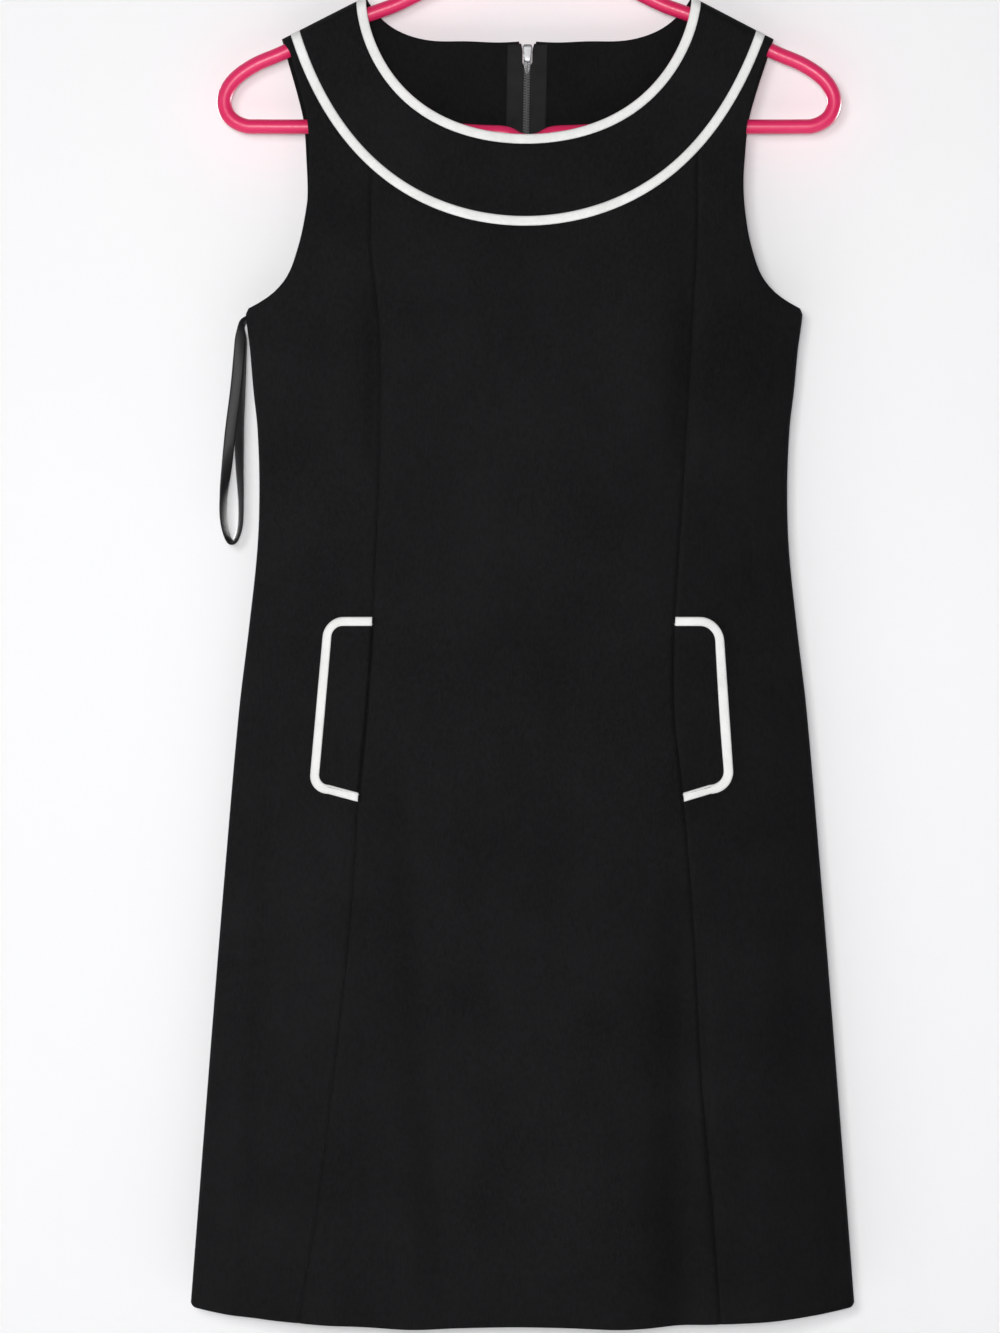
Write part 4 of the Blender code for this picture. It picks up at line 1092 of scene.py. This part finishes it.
hemX = np.linspace(-0.232, 0.232, 500)
hemPaths = [frontPoints(hemX, frontHem(hemX) + panelSet["hemDepth"], 0.0),
            backPoints(hemX, hemLine(hemX, dress["hemBack"]) + panelSet["hemDepth"], 0.0)]
hemStitches = runTree("hem_stitches", stitchTree, hemPaths, "blackThread", "Thread",
                      Pitch=stitchSet["hemPitch"], Length=stitchSet["hemLength"], Thickness=0.00034)
print("stitches made")


# ---- zip

def makeTape(side, sign):
    z = np.linspace(backTopLine(0) - 0.002, zipSet["top"] - zipSet["length"], 260)[:, None]
    sliderLow = zipSet["top"] - zipSet["sliderLength"]
    beside = np.where(z > sliderLow - 0.0023, zipSet["sliderWidth"] / 2 + 0.0004, 0.0021)
    inner = np.maximum(beside, centreBackEdge(z) - 0.001)
    x = inner + (zipSet["tapeEdge"] - inner) * np.linspace(0, 1, 9)[None]
    grid = backPoints(sign * x, z + 0 * x, -dress["cloth"] - 0.0006)
    rib = 0.00012 * np.sin(2 * math.pi * z / 0.0016)  # the tape's ribs, across it
    grid[..., 1] += rib * bump(x - zipSet["tapeEdge"], 0.003)
    return clothPiece(f"zip_tape_{side}_weave", grid, "zip_tape", 1, zipSet["tape"])


def makeCoils():
    top, low = zipSet["top"] - zipSet["sliderLength"] - 0.0003, zipSet["top"] - zipSet["length"]
    paths = []
    for sign, shift in ((-1, 0.0), (1, 0.5)):
        z = np.linspace(top - shift * zipSet["coilPitch"], low, 250)
        paths.append(backPoints(sign * 0.00105 + 0 * z, z, -dress["cloth"] - 0.0013))
    return runTree("zip_coils", coilTree, paths, "zip_chain", "Nylon", Pitch=zipSet["coilPitch"],
                   Width=zipSet["coilWidth"], Rise=zipSet["coilRise"], Thickness=zipSet["coilThick"])


def roundedLoft(name, stations, look, sides=28, power=3.2):
    # stations are (height, half width, half thickness, shift): squarish rounded sections
    turns = np.linspace(0, 2 * math.pi, sides, endpoint=False)
    cx, cy = np.cos(turns), np.sin(turns)
    fx = np.sign(cx) * np.abs(cx) ** (2 / power)
    fy = np.sign(cy) * np.abs(cy) ** (2 / power)
    rings = [np.stack([w * fx, s + t * fy, h + 0 * fx], 1) for h, w, t, s in stations]
    return tubePiece(name, np.stack(rings), look)


def joinPieces(name, parts):  # several closed bodies in one mesh
    bm = bmesh.new()
    for part in parts:
        bm.from_mesh(part.data)
    mesh = bpy.data.meshes.new(name)
    bm.to_mesh(mesh)
    bm.free()
    look = parts[0].data.materials[0]
    for part in parts:
        bpy.data.objects.remove(part, do_unlink=True)
    obj = bpy.data.objects.new(name, mesh)
    bpy.context.scene.collection.objects.link(obj)
    mesh.materials.append(look)
    return obj


def combine(first, second, operation):  # an exact Boolean, applied
    modifier = first.modifiers.new("join", "BOOLEAN")
    modifier.operation = operation
    modifier.object = second
    graph = bpy.context.evaluated_depsgraph_get()
    mesh = bpy.data.meshes.new_from_object(first.evaluated_get(graph))
    first.modifiers.remove(modifier)
    first.data = mesh
    bpy.data.objects.remove(second, do_unlink=True)
    mesh.shade_smooth()
    mesh.set_sharp_from_angle(angle=math.radians(38))
    return first


zipLow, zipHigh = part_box("zip_slider")
hinge = Vector(next(j["pos_m"] for j in frame["joints"] if j["name"] == "pull_tab_hinge"))
sliderMiddle = Vector(((zipLow.x + zipHigh.x) / 2, zipLow.y + zipSet["sliderThick"] / 2,
                       (zipLow.z + zipHigh.z) / 2))


def makeSlider():
    half = zipSet["sliderLength"] / 2
    plate = 0.0007
    face = zipSet["sliderThick"] / 2 - plate
    shape = [(1.0, 0.62), (0.97, 0.80), (0.85, 0.95), (0.6, 1.0), (0.2, 0.93), (-0.25, 0.78),
             (-0.7, 0.70), (-0.93, 0.66), (-1.0, 0.50)]
    parts = []
    for side in (-1, 1):
        stations = [(h * half, w * zipSet["sliderWidth"] / 2,
                     plate * (0.55 + 0.45 * min(1, (1 - abs(h)) * 8)), side * face) for h, w in shape]
        parts.append(roundedLoft("plate", stations, "zip_metal", power=5.0))
    bridge = [(half * 0.92, 0.0007, face * 0.9, 0), (half * 0.6, 0.0016, face, 0),
              (half * 0.1, 0.0005, face * 0.9, 0)]
    parts.append(roundedLoft("bridge", bridge, "zip_metal"))
    turns = np.linspace(-0.25, math.pi + 0.25, 22)
    arch = np.stack([0 * turns, zipSet["sliderThick"] / 2 + zipSet["crownRise"] * np.sin(turns),
                     zipSet["crownHalf"] * np.cos(turns)], 1)
    parts.append(tubePiece("crown", sweepRings(arch, roundSection(zipSet["crownRadius"], 12),
                                               up=(1, 0, 0)), "zip_metal"))
    slider = joinPieces("zip_slider_metal", parts)
    slider.data.transform(Matrix.Translation(sliderMiddle))
    slider.data.shade_smooth()
    slider.data.set_sharp_from_angle(angle=math.radians(38))
    return slider


def makePullTab():
    length, width, thick = zipSet["pullLength"], zipSet["pullWidth"] / 2, zipSet["pullThick"] / 2
    top = zipSet["pullBar"]
    low = top - length
    shape = [(top, 0.52), (top - 0.0004, 0.72), (top - 0.0012, 0.86), (top - 0.004, 0.90),
             (top - 0.008, 0.74), (top - 0.013, 0.72), (top - 0.019, 0.90), (low + 0.003, 1.0),
             (low + 0.0012, 0.90), (low + 0.0004, 0.72), (low, 0.50)]
    stations = [(h, w * width, thick * (0.6 if i in (0, len(shape) - 1) else 1.0), 0)
                for i, (h, w) in enumerate(shape)]
    tab = roundedLoft("zip_pull_tab_metal", stations, "zip_metal", power=5.0)
    eyeMiddle = -(zipSet["pullBar"] + zipSet["pullEye"]) / 2
    eyeHalf = (zipSet["pullEye"] - zipSet["pullBar"]) / 2
    for middle, tall, wide in ((eyeMiddle, eyeHalf, zipSet["pullEyeWidth"] / 2),
                               (low + 0.0062, 0.0026, 0.0013)):
        turns = np.linspace(0, 2 * math.pi, 24, endpoint=False)
        hole = np.stack([wide * np.cos(turns), 0 * turns, middle + tall * np.sin(turns)], 1)
        ends = np.stack([hole + (0, y, 0) for y in (-4 * thick, 4 * thick)])
        tab = combine(tab, tubePiece("hole", ends, "zip_metal"), "DIFFERENCE")
    tab.data.transform(Matrix.Translation(hinge) @ Matrix.Rotation(zipSet["pullTilt"], 4, "X"))
    bevel = tab.modifiers.new("edges", "BEVEL")
    bevel.width, bevel.segments, bevel.limit_method = 0.00018, 2, "ANGLE"
    bevel.angle_limit = math.radians(50)
    return tab


tapes = {side: makeTape(side, sign) for side, sign in (("left", -1), ("right", 1))}
coils = makeCoils()
slider = makeSlider()
pullTab = makePullTab()
print("zip made")


# ---- hanging ribbon, from the left underarm seam and back to it

ribbonSet = {
    "width": 0.0080, "thick": 0.00045, "length": 0.328,
    "route": ((-0.2066, -0.0020, -0.3690), (-0.2074, -0.0036, -0.3770), (-0.2086, -0.0044, -0.3930),
              (-0.2110, -0.0042, -0.4180), (-0.2146, -0.0036, -0.4460), (-0.2170, -0.0028, -0.4690),
              (-0.2192, -0.0018, -0.4900), (-0.2199, -0.0008, -0.5060), (-0.2187, 0.0000, -0.5170),
              (-0.2162, 0.0004, -0.5248), (-0.2137, 0.0006, -0.5268), (-0.2110, 0.0008, -0.5240),
              (-0.2086, 0.0010, -0.5160), (-0.2079, 0.0012, -0.5050), (-0.2082, 0.0018, -0.4880),
              (-0.2089, 0.0026, -0.4690), (-0.2091, 0.0032, -0.4440), (-0.2084, 0.0036, -0.4180),
              (-0.2076, 0.0038, -0.3930), (-0.2070, 0.0034, -0.3800), (-0.2068, 0.0022, -0.3725)),
    "start": (-0.2032, -0.0006, -0.3655), "end": (-0.2034, 0.0004, -0.3672),  # inside the seam
    # how far the ribbon is turned from lying flat to the front, along its length
    "turnAt": (0.0, 0.04, 0.12, 0.28, 0.40, 0.50, 0.60, 0.72, 0.88, 0.96, 1.0),
    "turn": (55, 18, 4, 8, 50, 62, 56, 30, 14, 20, 50),
}


def makeRibbon():
    route = (ribbonSet["start"],) + ribbonSet["route"] + (ribbonSet["end"],)
    path = smoothPath(route, 10)
    along = runLengths(path[:, None], 0)[:, 0]
    share = along / along[-1]
    twists = np.radians(np.interp(share, ribbonSet["turnAt"], ribbonSet["turn"]))
    half, thick = ribbonSet["width"] / 2, ribbonSet["thick"] / 2
    across = np.linspace(-1, 1, 9)
    curl = 0.10 * half * across**2  # the edges curl back a little
    upper = np.stack([half * across, thick - curl], 1)
    lower = np.stack([half * across[::-1], -thick - curl[::-1]], 1)
    widths = 1 - 0.55 * (1 - eased(share / 0.06)) - 0.55 * (1 - eased((1 - share) / 0.06))
    rings = sweepRings(path, np.concatenate([upper, lower]), widths, twists)
    return tubePiece("hanging_ribbon_satin", rings, "ribbon"), path


ribbon, ribbonPath = makeRibbon()


# ---- hanger

hangerSet = {
    "tube": 0.0052, "hook": 0.0045, "inner": 0.0210, "open": math.radians(200),
    "low": math.radians(-60), "sides": 28,
    "half": ((0.0000, -0.1000), (0.0300, -0.1078), (0.0600, -0.1222), (0.0930, -0.1388),
             (0.1140, -0.1468), (0.1450, -0.1590), (0.1760, -0.1742), (0.1980, -0.1838),
             (0.2130, -0.1950), (0.2195, -0.2080), (0.2165, -0.2200), (0.2060, -0.2270),
             (0.1900, -0.2280), (0.1300, -0.2282), (0.0700, -0.2300), (0.0350, -0.2318),
             (0.0170, -0.2328), (0.0080, -0.2370), (0.0000, -0.2385)),
}


def makeHanger():
    right = [(x, 0, z) for x, z in hangerSet["half"]]
    left = [(-x, 0, z) for x, z in reversed(hangerSet["half"][1:-1])]
    loop = smoothPath(right + left, 8, closed=True)
    rings = sweepRings(loop, roundSection(hangerSet["tube"], hangerSet["sides"]), closed=True)
    body = tubePiece("hanger_moulding", rings, "hanger_plastic", closed=True)
    radius = hangerSet["inner"] + hangerSet["hook"]
    turns = np.linspace(hangerSet["open"], hangerSet["low"], 60)
    over = np.stack([radius * np.cos(turns), 0 * turns,
                     -hangerSet["inner"] + radius * np.sin(turns)], 1)
    bendX = 2 * radius * math.cos(hangerSet["low"])
    bendZ = -hangerSet["inner"] + 2 * radius * math.sin(hangerSet["low"])
    turns = np.linspace(hangerSet["low"], 0, 16)[1:]
    under = np.stack([bendX - radius * np.cos(turns), 0 * turns, bendZ - radius * np.sin(turns)], 1)
    apex = hangerSet["half"][0][1]
    down = np.stack([np.zeros(14), np.zeros(14), np.linspace(under[-1, 2], apex, 15)[1:]], 1)
    path = np.concatenate([over, under, down])
    widths = np.ones(len(path))
    widths[-14:] = 1 + 0.42 * eased(np.linspace(-0.5, 1, 14)) ** 1.5  # the neck swells into the bow
    # a rounded end at the tip
    tip, ahead = path[0], path[0] - path[1]
    ahead = ahead / np.linalg.norm(ahead)
    turns = np.linspace(math.pi / 2, 0, 8)[:-1]
    cap = tip + ahead * hangerSet["hook"] * np.sin(turns)[:, None]
    path = np.concatenate([cap, path])
    widths = np.concatenate([np.maximum(np.cos(turns), 0.02), widths])
    hookRings = sweepRings(path, roundSection(hangerSet["hook"], hangerSet["sides"]), widths)
    return combine(body, tubePiece("hook", hookRings, "hanger_plastic"), "UNION")


hanger = makeHanger()
print("ribbon and hanger made")


# ---- bodies: each piece is hung on its body, and the imported parts it stands for are hidden

finishPiece(frontCentre, "dress", "crepe", "front_centre")
finishPiece(yoke, "dress", "crepe", "yoke")
finishPiece(neckBinding, "dress", "binding", "neck_binding")
finishPiece(yokeBinding, "dress", "binding", "yoke_binding")
for side in ("left", "right"):
    finishPiece(fronts[side], "dress", "crepe", f"front_side_{side}")
    finishPiece(backs[side], "dress", "crepe", f"back_{side}")
    finishPiece(flaps[side], "dress", "crepe", f"pocket_flap_{side}")
    finishPiece(flapBindings[side], "dress", "binding", f"flap_binding_{side}")
    finishPiece(tapes[side], "dress", "zip_tape", f"zip_tape_{side}")
finishPiece(coils, "dress", "zip_chain", "zip_chain")
finishPiece(slider, "dress", "zip_metal", "zip_slider")
finishPiece(pullTab, "zip_pull", "zip_metal", "zip_pull_tab")
finishPiece(ribbon, "dress", "ribbon", "hanging_ribbon")
finishPiece(hanger, "dress", "hanger_plastic", "hanger")
finishPiece(whiteStitches, "dress", "binding")
finishPiece(zipStitches, "dress", "crepe")
finishPiece(hemStitches, "dress", "crepe")


# ---- wall, floor and light

stageSet = {"wallY": 0.0375, "wallSize": 14.0, "floorZ": -1.34, "floorSize": 16.0,
            "white": (0.90, 0.90, 0.905), "lampsAim": (-0.02, 0.0, -0.60),
            "sky": (0.96, 0.97, 1.0, 1), "skyStrength": 0.15}


def stageLook(name, oneSided):
    look, nodes, link, shader = nodeLook(name)
    spot = objectSpot(nodes)
    mottle = addNode(nodes, "ShaderNodeTexNoise", Scale=3.0, Detail=3.0)
    link(spot, mottle.inputs["Vector"])
    white = stageSet["white"]
    colourBy(nodes, link, shader, mottle.outputs["Fac"], tuple(0.985 * c for c in white), white)
    shader.inputs["Roughness"].default_value = 0.9
    shader.inputs["Specular IOR Level"].default_value = 0.1
    if oneSided:  # seen from behind it isn't there, and it lets lamps behind it through
        clear = nodes.new("ShaderNodeBsdfTransparent")
        either = nodes.new("ShaderNodeMixShader")
        back = nodes.new("ShaderNodeNewGeometry")
        ray = nodes.new("ShaderNodeLightPath")
        most = addNode(nodes, "ShaderNodeMath", operation="MAXIMUM")
        link(back.outputs["Backfacing"], most.inputs[0])
        link(ray.outputs["Is Shadow Ray"], most.inputs[1])
        link(most.outputs[0], either.inputs["Fac"])
        link(shader.outputs[0], either.inputs[1])
        link(clear.outputs[0], either.inputs[2])
        link(either.outputs[0], nodes["Material Output"].inputs["Surface"])
    return look


def stagePlane(name, corners, look):
    mesh = bpy.data.meshes.new(name)
    mesh.from_pydata(corners, [], [(0, 1, 2, 3)])
    mesh.materials.append(look)
    obj = bpy.data.objects.new(name, mesh)
    bpy.context.scene.collection.objects.link(obj)
    return obj


reach, wallY, floorZ = stageSet["wallSize"] / 2, stageSet["wallY"], stageSet["floorZ"]
stagePlane("wall", [(-reach, wallY, floorZ), (reach, wallY, floorZ), (reach, wallY, reach),
                    (-reach, wallY, reach)], stageLook("wallPaint", True))
reach = stageSet["floorSize"] / 2
stagePlane("floor", [(-reach, -reach, floorZ), (reach, -reach, floorZ), (reach, reach, floorZ),
                     (-reach, reach, floorZ)], stageLook("floorPaint", False))

lights = (
    dict(name="front", place=(-0.05, -2.75, -0.58), size=0.18, power=34.0, lit="all"),
    dict(name="key", place=(-0.34, -2.55, -0.36), size=0.36, power=19.0, lit="all"),
    dict(name="left", place=(-2.3, -1.4, 0.2), size=1.0, power=4.0, lit="all"),
    # these light the dress but not the wall or floor, to show its folds and its back
    dict(name="relief", place=(-2.7, -1.25, -0.35), size=0.9, power=30.0, lit="cloth"),
    dict(name="behind", place=(-1.3, 2.5, 0.1), size=0.8, power=70.0, lit="backs"),
    dict(name="behindRight", place=(1.9, 1.9, -0.3), size=0.8, power=60.0, lit="backs"),
)
litPieces = {
    "cloth": [frontCentre, yoke, *fronts.values(), *flaps.values()],
    "backs": [*backs.values(), zipStitches, hanger, slider, pullTab, coils, ribbon],
}
litGroups = {}
for group, pieces in litPieces.items():
    litGroups[group] = bpy.data.collections.new(group)
    for piece in pieces:
        litGroups[group].objects.link(piece)
for light in lights:
    lamp = bpy.data.lights.new(light["name"], "AREA")
    lamp.energy, lamp.size = light["power"], light["size"]
    obj = bpy.data.objects.new(light["name"], lamp)
    obj.location = light["place"]
    toward = Vector(stageSet["lampsAim"]) - obj.location
    obj.rotation_euler = toward.to_track_quat("-Z", "Y").to_euler()
    bpy.context.scene.collection.objects.link(obj)
    if light["lit"] in litGroups:
        obj.light_linking.receiver_collection = litGroups[light["lit"]]

world = bpy.data.worlds.new("world")
bpy.context.scene.world = world
world.use_nodes = True
world.node_tree.nodes["Background"].inputs["Color"].default_value = stageSet["sky"]
world.node_tree.nodes["Background"].inputs["Strength"].default_value = stageSet["skyStrength"]
print("wall, floor and light made")
